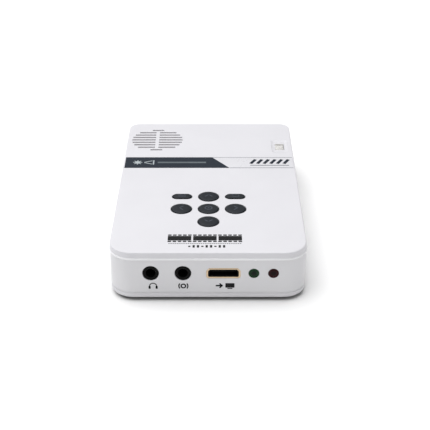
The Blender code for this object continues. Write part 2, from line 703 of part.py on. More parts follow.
def make_middle_frame():
    room = case_slab(WALL, FRAME_Z - GAP, FRAME_TOP_Z + GAP)
    outside = NEAR_Y - WALL
    deep = 3 * WALL
    holes = [rod((io_x(name), outside, IO_Z), deep, JACK_COLLAR_RADIUS + JACK_CLEARANCE, "Y")
             for name in ("headphone", "av")]
    holes += [rod((io_x(name), outside, IO_Z), deep, INDICATOR_RADIUS + INDICATOR_CLEARANCE, "Y", 20)
              for name in ("green", "red")]
    mouth = 2 * (VIDEO_LIP_WALL + JACK_CLEARANCE)
    holes.append(socket_block(io_x("video"), IO_Z, VIDEO_OPENING[0] + mouth, VIDEO_OPENING[1] + mouth,
                              VIDEO_CORNER_CUT, outside, deep))
    holes.append(rod((LENS_X, FAR_Y - 2 * WALL, LENS_Z), deep, RING_RADIUS + RING_CLEARANCE, "Y", 32))
    holes.append(rod((-HALF_WIDTH - WALL, NEAR_Y + DC_FROM_NEAR, PART_SEAT_Z + DC_BODY[2] / 2), deep,
                     DC_COLLAR_RADIUS + JACK_CLEARANCE, "X"))
    card_z = PART_SEAT_Z + CARD_BODY[2] / 2 - CARD_SLOT[1]
    holes.append(block(HALF_WIDTH - WALL / 2, NEAR_Y + CARD_FROM_NEAR, card_z, 2 * WALL,
                       CARD_SLOT[0] + 2 * GAP, 2 * CARD_SLOT[1]))
    boss_rooms = [rod((x, y, FRAME_Z - GAP), FRAME_TOP_Z - FRAME_Z + 2 * GAP, BOSS_RADIUS + GAP, sides=20)
                  for x, y in screw_places()]
    piece(
        "middle_frame", "white_frame",
        case_slab(0.0, FRAME_Z, FRAME_TOP_Z, top=FRAME_SHOULDER, bottom=SEAM_CHAMFER),
        steps=[("cut", [room]), ("cut", boss_rooms), ("cut", holes), ("cut", vent_slots())],
    )


def make_bottom_cover():
    lip = case_slab(WALL + GAP, BOTTOM_RIM_Z - GAP, BOTTOM_RIM_Z + BOTTOM_LIP_HEIGHT)
    room = case_slab(WALL + GAP + LIP_THICKNESS, FLOOR_Z, BOTTOM_RIM_Z + BOTTOM_LIP_HEIGHT + GAP)
    bosses = [rod((x, y, BASE_Z + PLATE / 2), BOTTOM_BOSS_HEIGHT - PLATE / 2, BOSS_RADIUS, sides=20)
              for x, y in screw_places()]
    bosses.append(rod((0.0, TRIPOD_Y, BASE_Z + PLATE / 2), TRIPOD_ROOM_Z + TRIPOD_CAP - BASE_Z - PLATE / 2,
                      TRIPOD_BOSS_RADIUS))
    root = FLOOR_Z - PLATE / 2
    standoffs = [rod((x, y, root), BOARD_Z - GAP - root, STANDOFF_RADIUS, sides=12)
                 for x, y in standoff_places()]
    pins = [rod((x, y, root), BOARD_TOP_Z + STAKE_TAIL - root, STAKE_RADIUS, sides=12)
            for x, y in standoff_places()]
    shanks = [rod((x, y, BASE_Z - GAP), BOTTOM_BOSS_HEIGHT + 2 * GAP, SCREW_RADIUS + GAP, sides=16)
              for x, y in screw_places()]
    sinks = [rod((x, y, BASE_Z - GAP), SCREW_SINK + 2 * GAP, SCREW_HEAD_RADIUS + GAP, sides=20)
             for x, y in screw_places()]
    recesses = [rod((x, y, BASE_Z - GAP), FOOT_RECESS + GAP, FOOT_RADIUS + GAP) for x, y in foot_places()]
    recesses.append(rod((0.0, TRIPOD_Y, BASE_Z - GAP), TRIPOD_ROOM_Z - BASE_Z + GAP, TRIPOD_RADIUS + GAP))
    piece(
        "bottom_cover", "white_plastic",
        case_slab(0.0, BASE_Z, BOTTOM_RIM_Z, top=SEAM_CHAMFER, bottom=BOTTOM_EDGE_ROUND),
        steps=[
            ("join", [lip]), ("cut", [room]), ("cut", [lens_room()]), ("join", bosses), ("join", standoffs),
            ("join", pins), ("cut", shanks), ("cut", sinks), ("cut", recesses),
        ],
    )


def make_case_screws():
    under_head = BASE_Z + SCREW_SINK
    head = under_head - SCREW_HEAD_HEIGHT
    profile = [
        (0.0, under_head + SCREW_LENGTH), (SCREW_RADIUS / 2, under_head + SCREW_LENGTH),
        (SCREW_RADIUS, under_head + SCREW_LENGTH - SCREW_RADIUS), (SCREW_RADIUS, under_head),
        (SCREW_HEAD_RADIUS, under_head), (SCREW_HEAD_RADIUS, head + SCREW_HEAD_EDGE),
        (SCREW_HEAD_RADIUS - SCREW_HEAD_EDGE, head), (DRIVE_RADIUS, head), (DRIVE_RADIUS, head + DRIVE_DEPTH),
        (0.0, head + DRIVE_DEPTH),
    ]
    for number, (x, y) in enumerate(screw_places(), 1):
        turned(f"case_screw_{number}", "steel", profile, axis(f"screw_axis_{number}", (x, y, 0.0)), sides=12)


def make_feet():
    top = BASE_Z + FOOT_RECESS - GAP
    profile = [
        (0.0, top), (FOOT_RADIUS, top), (FOOT_RADIUS, FOOT_EDGE), (FOOT_RADIUS - FOOT_EDGE, 0.0), (0.0, 0.0),
    ]
    for number, (x, y) in enumerate(foot_places(), 1):
        turned(f"foot_{number}", "rubber", profile, axis(f"foot_axis_{number}", (x, y, 0.0)), sides=20)


def make_tripod_insert():
    top = TRIPOD_ROOM_Z - GAP
    belt = (top - BASE_Z) / 3
    profile = [
        (TRIPOD_BORE_RADIUS, top), (TRIPOD_RADIUS, top), (TRIPOD_RADIUS, top - belt),
        (TRIPOD_RADIUS - TRIPOD_GROOVE, top - belt), (TRIPOD_RADIUS - TRIPOD_GROOVE, BASE_Z + belt),
        (TRIPOD_RADIUS, BASE_Z + belt), (TRIPOD_RADIUS, BASE_Z), (TRIPOD_BORE_RADIUS, BASE_Z),
    ]
    line = axis("tripod_axis", (0.0, TRIPOD_Y, 0.0))
    turned("tripod_insert", "brass", profile, line, sides=24, closed=True)


def make_stripe_label():
    near = FAR_Y - STRIPE_FROM_FAR + STRIPE_SIDE_GAP
    far = near + STRIPE_DEPTH - 2 * STRIPE_SIDE_GAP
    reach = HALF_WIDTH - TOP_EDGE_ROUND - STRIPE_SIDE_GAP
    piece("stripe_label", "stripe_print",
          slab((-reach, near, LID_Z - STRIPE_THICKNESS), (reach, far, LID_Z)))


# ---------------------------------------------------------------- keys and slide switch


def make_keys():
    top = LID_Z + KEY_PROUD
    stem = SWITCH_TOP_Z - KEY_STEM_ENTRY
    flange = KEY_RADIUS + KEY_FLANGE
    round_profile = [
        (0.0, top), (KEY_RADIUS - KEY_EDGE, top), (KEY_RADIUS, top - KEY_EDGE), (KEY_RADIUS, FLANGE_TOP_Z),
        (flange, FLANGE_TOP_Z), (flange, FLANGE_Z), (KEY_STEM_RADIUS, FLANGE_Z), (KEY_STEM_RADIUS, stem),
        (0.0, stem),
    ]
    for name, x, y, is_round in key_places():
        if is_round:
            line = axis(f"key_axis_{name}", (x, y, 0.0))
            turned(f"key_{name}", "key_plastic", round_profile, line, sides=20)
            continue
        cap = block(x, y, FLANGE_TOP_Z - GAP, KEY_PILL_WIDTH, KEY_PILL_DEPTH, top - FLANGE_TOP_Z + GAP,
                    corner=KEY_PILL_DEPTH / 2 - KEY_PILL_FLAT, top=KEY_EDGE, edge_segments=1)
        skirt = key_hole(x, y, False, KEY_FLANGE, FLANGE_Z, FLANGE_TOP_Z)
        post = rod((x, y, stem), FLANGE_Z - stem + GAP, KEY_STEM_RADIUS, sides=16)
        piece(f"key_{name}", "key_plastic", cap, [("join", [skirt]), ("join", [post])], origin=(x, y, 0.0))


def make_key_switches():
    well = KEY_STEM_ENTRY + KEY_TRAVEL + GAP
    for name, x, y, _ in key_places():
        can = block(x, y, SWITCH_Z, SWITCH_SIZE, SWITCH_SIZE, SWITCH_HEIGHT, corner=SWITCH_CORNER, segments=1)
        hole = rod((x, y, SWITCH_TOP_Z - well), well + GAP, KEY_STEM_RADIUS + GAP, sides=16)
        piece(f"key_switch_{name}", "steel", can, [("cut", [hole])], origin=(x, y, 0.0))


def make_keypad_board():
    half, near, far = keypad_board_box()
    holes = [rod((x, y, KEYPAD_Z - GAP), BOARD_THICKNESS + 2 * GAP, STAKE_RADIUS + GAP, sides=12)
             for x, y in keypad_stakes()]
    piece("keypad_board", "board_green", slab((-half, near, KEYPAD_Z), (half, far, KEYPAD_TOP_Z)),
          [("cut", holes)])


def make_power_switch():
    knob_width = SLIDE_SLOT_WIDTH - 2 * SLIDE_CLEARANCE
    knob_length = SLIDE_SLOT_LENGTH - SLIDE_TRAVEL - 2 * SLIDE_CLEARANCE
    knob_y = SLIDE_Y - SLIDE_TRAVEL / 2  # at the near end of its travel
    knob_top = LID_Z - SLIDE_KNOB_SINK
    stem_low = SWITCH_TOP_Z - KEY_STEM_ENTRY
    knob = block(SLIDE_X, knob_y, FLANGE_TOP_Z - GAP, knob_width, knob_length, knob_top - FLANGE_TOP_Z + GAP)
    flange = block(SLIDE_X, knob_y, FLANGE_Z, SLIDE_SLOT_WIDTH + 2 * SLIDE_FLANGE,
                   SLIDE_SLOT_LENGTH + 2 * SLIDE_FLANGE, KEY_FLANGE_HEIGHT)
    stem = block(SLIDE_X, knob_y, stem_low, SLIDE_STEM, SLIDE_STEM, FLANGE_Z - stem_low + GAP)
    pitch = knob_length / (SLIDE_RIB_COUNT + 0.5)
    grooves = [block(SLIDE_X, knob_y + (n - (SLIDE_RIB_COUNT - 1) / 2) * pitch, knob_top - SLIDE_RIB_HEIGHT,
                     SLIDE_SLOT_WIDTH, pitch / 2, GAP + SLIDE_RIB_HEIGHT) for n in range(SLIDE_RIB_COUNT)]
    piece("power_switch_knob", "switch_white", knob,
          [("join", [flange]), ("join", [stem]), ("cut", grooves)], origin=(SLIDE_X, knob_y, 0.0))

    well = KEY_STEM_ENTRY + GAP
    body = block(SLIDE_X, SLIDE_Y, SLIDE_BOARD_TOP_Z + GAP, SLIDE_SLOT_WIDTH, SLIDE_BODY_LENGTH,
                 SLIDE_BODY_HEIGHT)
    way = block(SLIDE_X, SLIDE_Y, SWITCH_TOP_Z - well, SLIDE_STEM + 2 * GAP,
                SLIDE_STEM + SLIDE_TRAVEL + 2 * GAP, well + GAP)
    piece("power_switch_body", "steel", body, [("cut", [way])])

    board = block(SLIDE_X, SLIDE_Y, SLIDE_BOARD_TOP_Z - BOARD_THICKNESS, SLIDE_SLOT_WIDTH + 2 * SLIDE_FLANGE,
                  SLIDE_BOARD_LENGTH, BOARD_THICKNESS)
    low = SLIDE_BOARD_TOP_Z - 2 * BOARD_THICKNESS
    holes = [rod((x, y, low), 3 * BOARD_THICKNESS, STAKE_RADIUS + GAP, sides=12) for x, y in slide_stakes()]
    piece("power_switch_board", "board_green", board, [("cut", holes)])


# ---------------------------------------------------------------- sockets and boards


def make_signal_jacks():
    for name in ("headphone", "av"):
        x = io_x(name)
        front = NEAR_Y + PANEL_SETBACK
        body_near = NEAR_Y + WALL + GAP
        body = slab((x - JACK_BODY_WIDTH / 2, body_near, PART_SEAT_Z),
                    (x + JACK_BODY_WIDTH / 2, body_near + JACK_BODY_LENGTH, PART_SEAT_Z + JACK_BODY_HEIGHT))
        collar = rod((x, front, IO_Z), BOARD_NEAR_Y - GAP - front, JACK_COLLAR_RADIUS, "Y")
        bore = rod((x, front - GAP, IO_Z), JACK_BODY_LENGTH, JACK_BORE_RADIUS, "Y", 20)
        piece(f"{name}_jack", "black_plastic", body, [("join", [collar]), ("cut", [bore])])


def make_video_socket():
    x = io_x("video")
    front = NEAR_Y + PANEL_SETBACK
    width, height = VIDEO_OPENING

    def around(wall, near, deep, cut):
        return socket_block(x, IO_Z, width + 2 * wall, height + 2 * wall, cut, near, deep)

    shell = around(VIDEO_SHELL_WALL, front + GAP, VIDEO_DEPTH, VIDEO_CORNER_CUT)
    lip = around(VIDEO_LIP_WALL, front, VIDEO_LIP_DEPTH, VIDEO_CORNER_CUT + VIDEO_LIP_WALL / 2)
    mouth = around(0.0, front - GAP, VIDEO_DEPTH - VIDEO_SHELL_WALL, VIDEO_CORNER_CUT)
    underside = IO_Z - height / 2 - VIDEO_SHELL_WALL
    legs = [block(x + side * (width / 2 - VIDEO_LEG[0]), front + VIDEO_DEPTH - VIDEO_LEG[1], PART_SEAT_Z,
                  *VIDEO_LEG, underside - PART_SEAT_Z + VIDEO_SHELL_WALL / 2) for side in (-1, 1)]
    piece("video_socket_shell", "gold_plate", shell, [("join", [lip]), ("join", legs), ("cut", [mouth])])
    reach, half = (VIDEO_TONGUE[0] / 2, VIDEO_TONGUE[1] / 2)
    tongue_far = front + VIDEO_DEPTH - VIDEO_SHELL_WALL - 2 * GAP
    piece("video_socket_tongue", "black_plastic",
          slab((x - reach, front + VIDEO_TONGUE_SETBACK, IO_Z - half), (x + reach, tongue_far, IO_Z + half)))


def make_indicators():
    """Two domed indicator lamps that lie on their sides and look out through the panel."""
    tip = NEAR_Y + PANEL_SETBACK
    back = tip + INDICATOR_LENGTH
    flange = INDICATOR_RADIUS + INDICATOR_FLANGE
    for name in ("green", "red"):
        x = io_x(name)
        shoulder = back - INDICATOR_BASE
        profile = [(0.0, back), (flange, back), (flange, shoulder), (INDICATOR_RADIUS, shoulder)]
        for step in range(DOME_STEPS):
            angle = step / DOME_STEPS * math.pi / 2
            drop = 1 - math.sin(angle)
            profile.append((INDICATOR_RADIUS * math.cos(angle), tip + INDICATOR_RADIUS * drop))
        profile.append((0.0, tip))
        leads = block(x, back - INDICATOR_BASE / 2, PART_SEAT_Z, *INDICATOR_LEADS, IO_Z - PART_SEAT_Z)
        turned(f"{name}_indicator", f"{name}_lens", profile, axis(f"{name}_lamp_axis", (x, 0.0, IO_Z), "Y"),
               sides=20, steps=[("join", [leads])])


def make_dc_jack():
    x_in = -INNER_X
    y = NEAR_Y + DC_FROM_NEAR
    z = PART_SEAT_Z + DC_BODY[2] / 2
    body = block(x_in + DC_BODY[0] / 2, y, PART_SEAT_Z, *DC_BODY)
    face = -HALF_WIDTH + PANEL_SETBACK
    collar = rod((face, y, z), x_in - face + GAP, DC_COLLAR_RADIUS, "X")
    depth = x_in - face + DC_BODY[0] - DC_BACK_WALL
    bore = rod((face - GAP, y, z), depth + GAP, DC_BORE_RADIUS, "X", 20)
    pin = rod((face + DC_BACK_WALL / 2, y, z), depth, DC_PIN_RADIUS, "X", 12)
    piece("dc_power_jack", "black_plastic", body, [("join", [collar]), ("cut", [bore]), ("join", [pin])])


def make_card_socket():
    y = NEAR_Y + CARD_FROM_NEAR
    z = PART_SEAT_Z + CARD_BODY[2] / 2
    body = block(INNER_X - CARD_BODY[0] / 2, y, PART_SEAT_Z, *CARD_BODY)
    slot = slab((INNER_X - CARD_SLOT_DEPTH, y - CARD_SLOT[0] / 2, z - CARD_SLOT[1] / 2),
                (INNER_X + GAP, y + CARD_SLOT[0] / 2, z + CARD_SLOT[1] / 2))
    piece("card_socket", "steel", body, [("cut", [slot])])


def make_main_board():
    neck_half = HALF_WIDTH - SCREW_INSET - BOSS_RADIUS - 2 * GAP
    neck_far = NEAR_Y + BOARD_NECK_LENGTH + GAP
    neck = slab((-neck_half, BOARD_NEAR_Y, BOARD_Z), (neck_half, neck_far, BOARD_TOP_Z))
    wide = slab((-INNER_X, NEAR_Y + BOARD_NECK_LENGTH, BOARD_Z), (INNER_X, BOARD_FAR_Y, BOARD_TOP_Z))
    processor = block(0.0, NEAR_Y + KEYS_FROM_NEAR, BOARD_TOP_Z - GAP, PROCESSOR_SIZE, PROCESSOR_SIZE,
                      PROCESSOR_HEIGHT + GAP)
    plugs = [block(x, BOARD_FAR_Y - PLUG_BLOCK[1] / 2 - GAP, BOARD_TOP_Z - GAP, PLUG_BLOCK[0], PLUG_BLOCK[1],
                   PLUG_BLOCK[2] + GAP) for x in plug_places()]
    holes = [rod((x, y, BOARD_Z - GAP), BOARD_THICKNESS + 2 * GAP, STAKE_RADIUS + GAP, sides=12)
             for x, y in standoff_places()]
    piece("main_board", "board_green", wide,
          [("join", [neck]), ("join", [processor, *plugs]), ("cut", holes)])


def plug_places():
    """Middle of the loudspeaker's and of the battery's plug on the main board."""
    return (-BATTERY_WIDTH / 3, BATTERY_WIDTH / 3)


def make_battery():
    near = NEAR_Y + BATTERY_FROM_NEAR
    far = TRIPOD_Y - TRIPOD_BOSS_RADIUS - GAP
    low, high = (-BATTERY_WIDTH / 2, near, REST_Z), (BATTERY_WIDTH / 2, far, BOARD_Z - GAP)
    piece("battery_pack", "battery_wrap", slab(low, high, corner=BATTERY_CORNER, segments=3))


def make_leads():
    """The battery's lead rises past the board's far edge; the loudspeaker's passes above the heat pipe."""
    speaker_plug, battery_plug = plug_places()
    plug_z = BOARD_TOP_Z + PLUG_BLOCK[2] / 2
    plug_face = BOARD_FAR_Y
    battery_far = TRIPOD_Y - TRIPOD_BOSS_RADIUS - GAP
    battery_z = (REST_Z + BOARD_Z - GAP) / 2
    out = max(BOARD_FAR_Y, battery_far) + 2.2 * MM
    tube("battery_lead", "lead_black", [
        (battery_plug, battery_far + 2 * GAP, battery_z), (battery_plug, battery_far + 1.6 * MM, battery_z),
        (battery_plug, out, (battery_z + BOARD_Z) / 2), (battery_plug, out + 0.4 * MM, BOARD_TOP_Z),
        (battery_plug, out - 0.5 * MM, plug_z), (battery_plug, plug_face + 0.1 * MM, plug_z),
    ], LEAD_RADIUS)
    over = PIPE_Z + PIPE_RADIUS + LEAD_RADIUS + 2 * GAP
    basket_near = SPEAKER_Y - SPEAKER_RADIUS - LEAD_RADIUS - GAP
    tube("speaker_lead", "lead_black", [
        (speaker_plug, plug_face + 0.1 * MM, plug_z), (speaker_plug, plug_face + 3.0 * MM, plug_z + 0.6 * MM),
        (speaker_plug - 2.0 * MM, SOURCE_BACK_Y - PIPE_RADIUS, over),
        (SPEAKER_X + 3.0 * MM, (SOURCE_BACK_Y + basket_near) / 2, over + 0.5 * MM),
        (SPEAKER_X + 1.0 * MM, basket_near - 1.5 * MM, over + 0.8 * MM),
        (SPEAKER_X, basket_near, over + 1.0 * MM),
    ], LEAD_RADIUS)


# ---------------------------------------------------------------- loudspeaker and cooling


def make_speaker():
    """Basket with its magnet, the cone with its voice coil, and the cloth glued under the grille."""
    line = axis("speaker_axis", (SPEAKER_X, SPEAKER_Y, 0.0))
    high, low = CEILING_Z - GAP, CEILING_Z - GAP - CLOTH_THICKNESS
    cloth = GRILLE_RADIUS + GRILLE_MARGIN - GAP
    around_bosses = [rod((x, y, low - GAP), high - low + 2 * GAP, TOP_BOSS_RADIUS + GAP, sides=16)
                     for x, y in screw_places() if x < 0.0 < y]
    turned("grille_cloth", "cloth", [(0.0, high), (cloth, high), (cloth, low), (0.0, low)], line, sides=24,
           steps=[("cut", around_bosses)])
    rim = SPEAKER_RIM_Z
    floor = SPEAKER_FLOOR_Z
    coil_out = POLE_RADIUS + 2 * COIL_GAP + COIL_THICKNESS
    seat = rim - BASKET_BOWL
    bowl = SPEAKER_RADIUS - SPEAKER_RIM
    turned("speaker_basket", "black_plastic", [
        (0.0, seat), (POLE_RADIUS, seat), (POLE_RADIUS, floor + MAGNET_PLATE),
        (coil_out, floor + MAGNET_PLATE), (coil_out, seat), (bowl, rim - BASKET_FLANGE), (bowl, rim),
        (SPEAKER_RADIUS, rim), (SPEAKER_RADIUS, rim - BASKET_FLANGE), (MAGNET_RADIUS, seat - BASKET_SKIN),
        (MAGNET_RADIUS, floor), (0.0, floor),
    ], line, sides=24)
    edge = bowl - COIL_GAP
    rim_top = rim - CONE_TRAVEL
    coil_in = POLE_RADIUS + COIL_GAP
    coil = coil_in + COIL_THICKNESS
    neck = seat + 2 * CONE_TRAVEL
    coil_end = floor + MAGNET_PLATE + 2 * CONE_TRAVEL
    dome = neck + CONE_DOME
    turned("speaker_cone", "paper_cone", [
        (0.0, dome + CONE_THICKNESS), (coil_in / 2, dome + CONE_THICKNESS), (coil_in, neck + CONE_THICKNESS),
        (edge, rim_top), (edge, rim_top - CONE_THICKNESS), (coil, neck), (coil, coil_end),
        (coil_in, coil_end), (coil_in, neck), (coil_in / 2, dome), (0.0, dome),
    ], line, sides=24)


def make_blower():
    """Centrifugal fan: a tray whose volute opens towards the heat sink, its cover, and the impeller."""
    floor = REST_Z + BLOWER_WALL
    rim = BLOWER_RIM_Z
    volute = IMPELLER_RADIUS + IMPELLER_SWEEP
    tray = block(BLOWER_X, BLOWER_Y, REST_Z, BLOWER_WIDTH, BLOWER_LENGTH, rim - REST_Z)
    round_room = rod((BLOWER_X, BLOWER_Y, floor), rim - floor + GAP, volute, sides=32)
    outlet_half = min(volute, BLOWER_LENGTH / 2 - BLOWER_WALL)
    outlet = slab((BLOWER_X - BLOWER_WIDTH, BLOWER_Y - outlet_half, floor),
                  (BLOWER_X, BLOWER_Y + outlet_half, rim + GAP))
    spindle_top = rim - SPINDLE_DROP
    spindle = rod((BLOWER_X, BLOWER_Y, floor - BLOWER_WALL / 2), spindle_top - floor + BLOWER_WALL / 2,
                  SPINDLE_RADIUS, sides=16)
    piece("blower_housing", "black_plastic", tray,
          [("cut", [round_room]), ("cut", [outlet]), ("join", [spindle])])

    cover = block(BLOWER_X, BLOWER_Y, rim + GAP, BLOWER_WIDTH, BLOWER_LENGTH, BLOWER_COVER)
    intake = rod((BLOWER_X, BLOWER_Y, rim), BLOWER_COVER + 2 * GAP, BLOWER_INTAKE_RADIUS, sides=32)
    piece("blower_cover", "black_plastic", cover, [("cut", [intake])])

    low = floor + 2 * GAP
    high = rim - GAP
    disc = BLADE_THICKNESS
    bore = SPINDLE_RADIUS + SPINDLE_CLEARANCE
    well = spindle_top + GAP
    profile = [
        (0.0, high), (HUB_RADIUS, high), (HUB_RADIUS, low + disc), (IMPELLER_RADIUS, low + disc),
        (IMPELLER_RADIUS, low), (bore, low), (bore, well), (0.0, well),
    ]
    blades = []
    span = IMPELLER_RADIUS - HUB_RADIUS
    for number in range(BLADE_COUNT):
        blade = slab((0.0, -BLADE_THICKNESS / 2, low + disc / 2), (span, BLADE_THICKNESS / 2, high - GAP))
        lean = Matrix.Rotation(math.radians(BLADE_LEAN_DEG), 4, "Z")
        root = Matrix.Translation((HUB_RADIUS - BLADE_THICKNESS, 0.0, 0.0))
        turn = Matrix.Rotation(2 * math.pi * number / BLADE_COUNT, 4, "Z")
        blade.transform(Matrix.Translation((BLOWER_X, BLOWER_Y, 0.0)) @ turn @ root @ lean)
        blades.append(blade)
    line = axis("blower_axis", (BLOWER_X, BLOWER_Y, 0.0))
    turned("blower_impeller", "black_plastic", profile, line, sides=28, steps=[("join", blades)])


def make_heat_sink():
    x = -INNER_X + SINK_WIDTH / 2
    height = COOLING_TOP_Z - REST_Z
    body = block(x, BLOWER_Y, REST_Z, SINK_WIDTH, SINK_LENGTH, height)
    pitch = (SINK_LENGTH - SINK_FIN) / SINK_WINDOWS
    windows = [block(x, BLOWER_Y + (n - (SINK_WINDOWS - 1) / 2) * pitch, REST_Z + SINK_SKIN, 2 * SINK_WIDTH,
                     pitch - SINK_FIN, height - 2 * SINK_SKIN) for n in range(SINK_WINDOWS)]
    piece("heat_sink", "aluminium", body, [("cut", windows)])

    run_y = SOURCE_BACK_Y - GAP - PIPE_RADIUS
    tube("heat_pipe", "copper", [
        (LENS_X + SOURCE_SPACING / 2 + SOURCE_BOARD / 3, run_y, PIPE_Z), (LENS_X, run_y, PIPE_Z),
        (0.0, run_y, PIPE_Z), (x / 2, run_y, PIPE_Z), (x + PIPE_TURN, run_y, PIPE_Z),
        (x + PIPE_TURN * 0.3, run_y + PIPE_TURN * 0.3, PIPE_Z), (x, run_y + PIPE_TURN, PIPE_Z),
        (x, BLOWER_Y - SINK_LENGTH / 3, PIPE_Z), (x, BLOWER_Y + SINK_LENGTH / 2 - 1.0 * MM, PIPE_Z),
    ], PIPE_RADIUS)


# ---------------------------------------------------------------- optical engine and lens


def source_places():
    return {"green": LENS_X - SOURCE_SPACING / 2, "red_blue": LENS_X + SOURCE_SPACING / 2}


def make_engine():
    left, right = LENS_X - ENGINE_WIDTH / 2, LENS_X + ENGINE_WIDTH / 2
    tray = slab((left, ENGINE_NEAR_Y, REST_Z), (right, ENGINE_FAR_Y, ENGINE_RIM_Z))
    room = slab((left + ENGINE_WALL, ENGINE_NEAR_Y + ENGINE_WALL, REST_Z + ENGINE_FLOOR),
                (right - ENGINE_WALL, ENGINE_FAR_Y - ENGINE_WALL, ENGINE_RIM_Z + GAP))
    tube_near = ENGINE_FAR_Y - ENGINE_WALL / 2
    lens_tube = rod((LENS_X, tube_near, LENS_Z), TUBE_END_Y - tube_near, TUBE_RADIUS, "Y", 32)
    bore = rod((LENS_X, tube_near - ENGINE_WALL, LENS_Z), TUBE_END_Y - tube_near + 2 * ENGINE_WALL,
               BARREL_RADIUS + BARREL_CLEARANCE, "Y", 32)
    outside = ENGINE_NEAR_Y - ENGINE_WALL
    windows = [rod((x, outside, LENS_Z), 3 * ENGINE_WALL, SOURCE_DOME_RADIUS + GAP, "Y", 20)
               for x in source_places().values()]
    windows.append(block(right - ENGINE_WALL / 2, imager_y(), LENS_Z - IMAGER_WINDOW[1] / 2, 2 * ENGINE_WALL,
                         *IMAGER_WINDOW))
    piece("engine_housing", "aluminium", tray,
          [("cut", [room]), ("join", [lens_tube]), ("cut", [bore]), ("cut", windows)])
    lid_z = ENGINE_RIM_Z + GAP
    piece("engine_lid", "aluminium",
          slab((left, ENGINE_NEAR_Y, lid_z), (right, tube_near - GAP, lid_z + ENGINE_LID)))

    for name, x in source_places().items():
        board = block(x, SOURCE_BACK_Y + SOURCE_BOARD_THICKNESS / 2, LENS_Z - SOURCE_BOARD / 2, SOURCE_BOARD,
                      SOURCE_BOARD_THICKNESS, SOURCE_BOARD)
        dome = rod((x, ENGINE_NEAR_Y - 2 * GAP, LENS_Z), ENGINE_WALL + 2 * GAP, SOURCE_DOME_RADIUS, "Y", 20)
        piece(f"{name}_light_source", "copper", board, [("join", [dome])])

    piece("imager_chip", "black_plastic",
          block(right + GAP + IMAGER[0] / 2, imager_y(), LENS_Z - IMAGER[2] / 2, *IMAGER))

    middle = Vector((right - ENGINE_WALL - GAP - PRISM_LEG / 2, imager_y(), LENS_Z))
    prism_z = REST_Z + ENGINE_FLOOR + GAP
    prism = block(middle.x, middle.y, prism_z, PRISM_LEG, PRISM_LEG, LENS_Z + PRISM_LEG / 2 - prism_z)
    bmesh.ops.bisect_plane(
        prism, geom=[*prism.verts, *prism.edges, *prism.faces], plane_co=middle, plane_no=(-1.0, -1.0, 0.0),
        clear_outer=True,
    )
    bmesh.ops.holes_fill(prism, edges=[e for e in prism.edges if e.is_boundary])
    piece("prism", "glass", prism)


def imager_y():
    return ENGINE_NEAR_Y + ENGINE_WALL + GAP + IMAGER[1] / 2


def make_lens():
    """Barrel that slides in the engine's tube, its front lens, and the focus ring that the finger turns."""
    line = axis("lens_axis", (LENS_X, 0.0, LENS_Z), "Y")
    front = FAR_Y + RING_PROUD - BARREL_TRAVEL - 2 * GAP
    back = front - BARREL_LENGTH
    inner = BARREL_RADIUS - BARREL_WALL
    seat = front - LENS_SEAT - LENS_THICKNESS
    turned("lens_barrel", "black_plastic", [
        (inner, front), (BARREL_RADIUS, front), (BARREL_RADIUS, back), (inner - BARREL_WALL, back),
        (inner - BARREL_WALL, seat - GAP), (inner, seat - GAP),
    ], line, sides=28, closed=True)

    lens_radius = inner - LENS_CLEARANCE
    bulge = LENS_THICKNESS / 3
    rise = [(lens_radius * step / 4, bulge * (1 - (step / 4) ** 2)) for step in range(5)]
    top = seat + LENS_THICKNESS - bulge
    bottom = seat + bulge
    profile = [(r, top + h) for r, h in rise] + [(r, bottom - h) for r, h in reversed(rise)]
    turned("front_lens", "glass", profile, line, sides=24)

    bore = BARREL_RADIUS + BARREL_CLEARANCE
    flange = RING_RADIUS + RING_FLANGE
    ring_front = FAR_Y + RING_PROUD
    flutes = []
    reach = RING_RADIUS + RING_FLUTE_DEPTH
    for number in range(RING_FLUTES):
        angle = 2 * math.pi * (number + 0.5) / RING_FLUTES
        start = (LENS_X + reach * math.cos(angle), FAR_Y + GAP, LENS_Z + reach * math.sin(angle))
        flutes.append(rod(start, RING_PROUD, 2 * RING_FLUTE_DEPTH, "Y", 6))
    turned("focus_ring", "black_plastic", [
        (bore, ring_front), (RING_RADIUS - RING_EDGE, ring_front), (RING_RADIUS, ring_front - RING_EDGE),
        (RING_RADIUS, RING_FLANGE_FACE_Y), (flange, RING_FLANGE_FACE_Y), (flange, RING_BACK_Y),
        (bore, RING_BACK_Y),
    ], line, sides=2 * RING_FLUTES, closed=True, steps=[("cut", flutes)])


clear_scene()
PIECES = new_collection("home_projector")
HELPERS = new_collection("cutters")
make_top_cover()
make_middle_frame()
make_bottom_cover()
make_case_screws()
make_feet()
make_tripod_insert()
make_stripe_label()
make_keys()
make_key_switches()
make_keypad_board()
make_power_switch()
make_signal_jacks()
make_video_socket()
make_indicators()
make_dc_jack()
make_card_socket()
make_main_board()
make_battery()
make_leads()
make_speaker()
make_blower()
make_heat_sink()
make_engine()
make_lens()
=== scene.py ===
"""A flat pocket projector in a white moulded case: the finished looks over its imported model.

Shapes are drawn in millimetres and scaled to metres when they are placed. Levels and places come from the
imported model's own boxes, so every finished piece lies where its solid lies.
"""

import json
import math

import bmesh
import bpy
from mathutils import Matrix, Vector

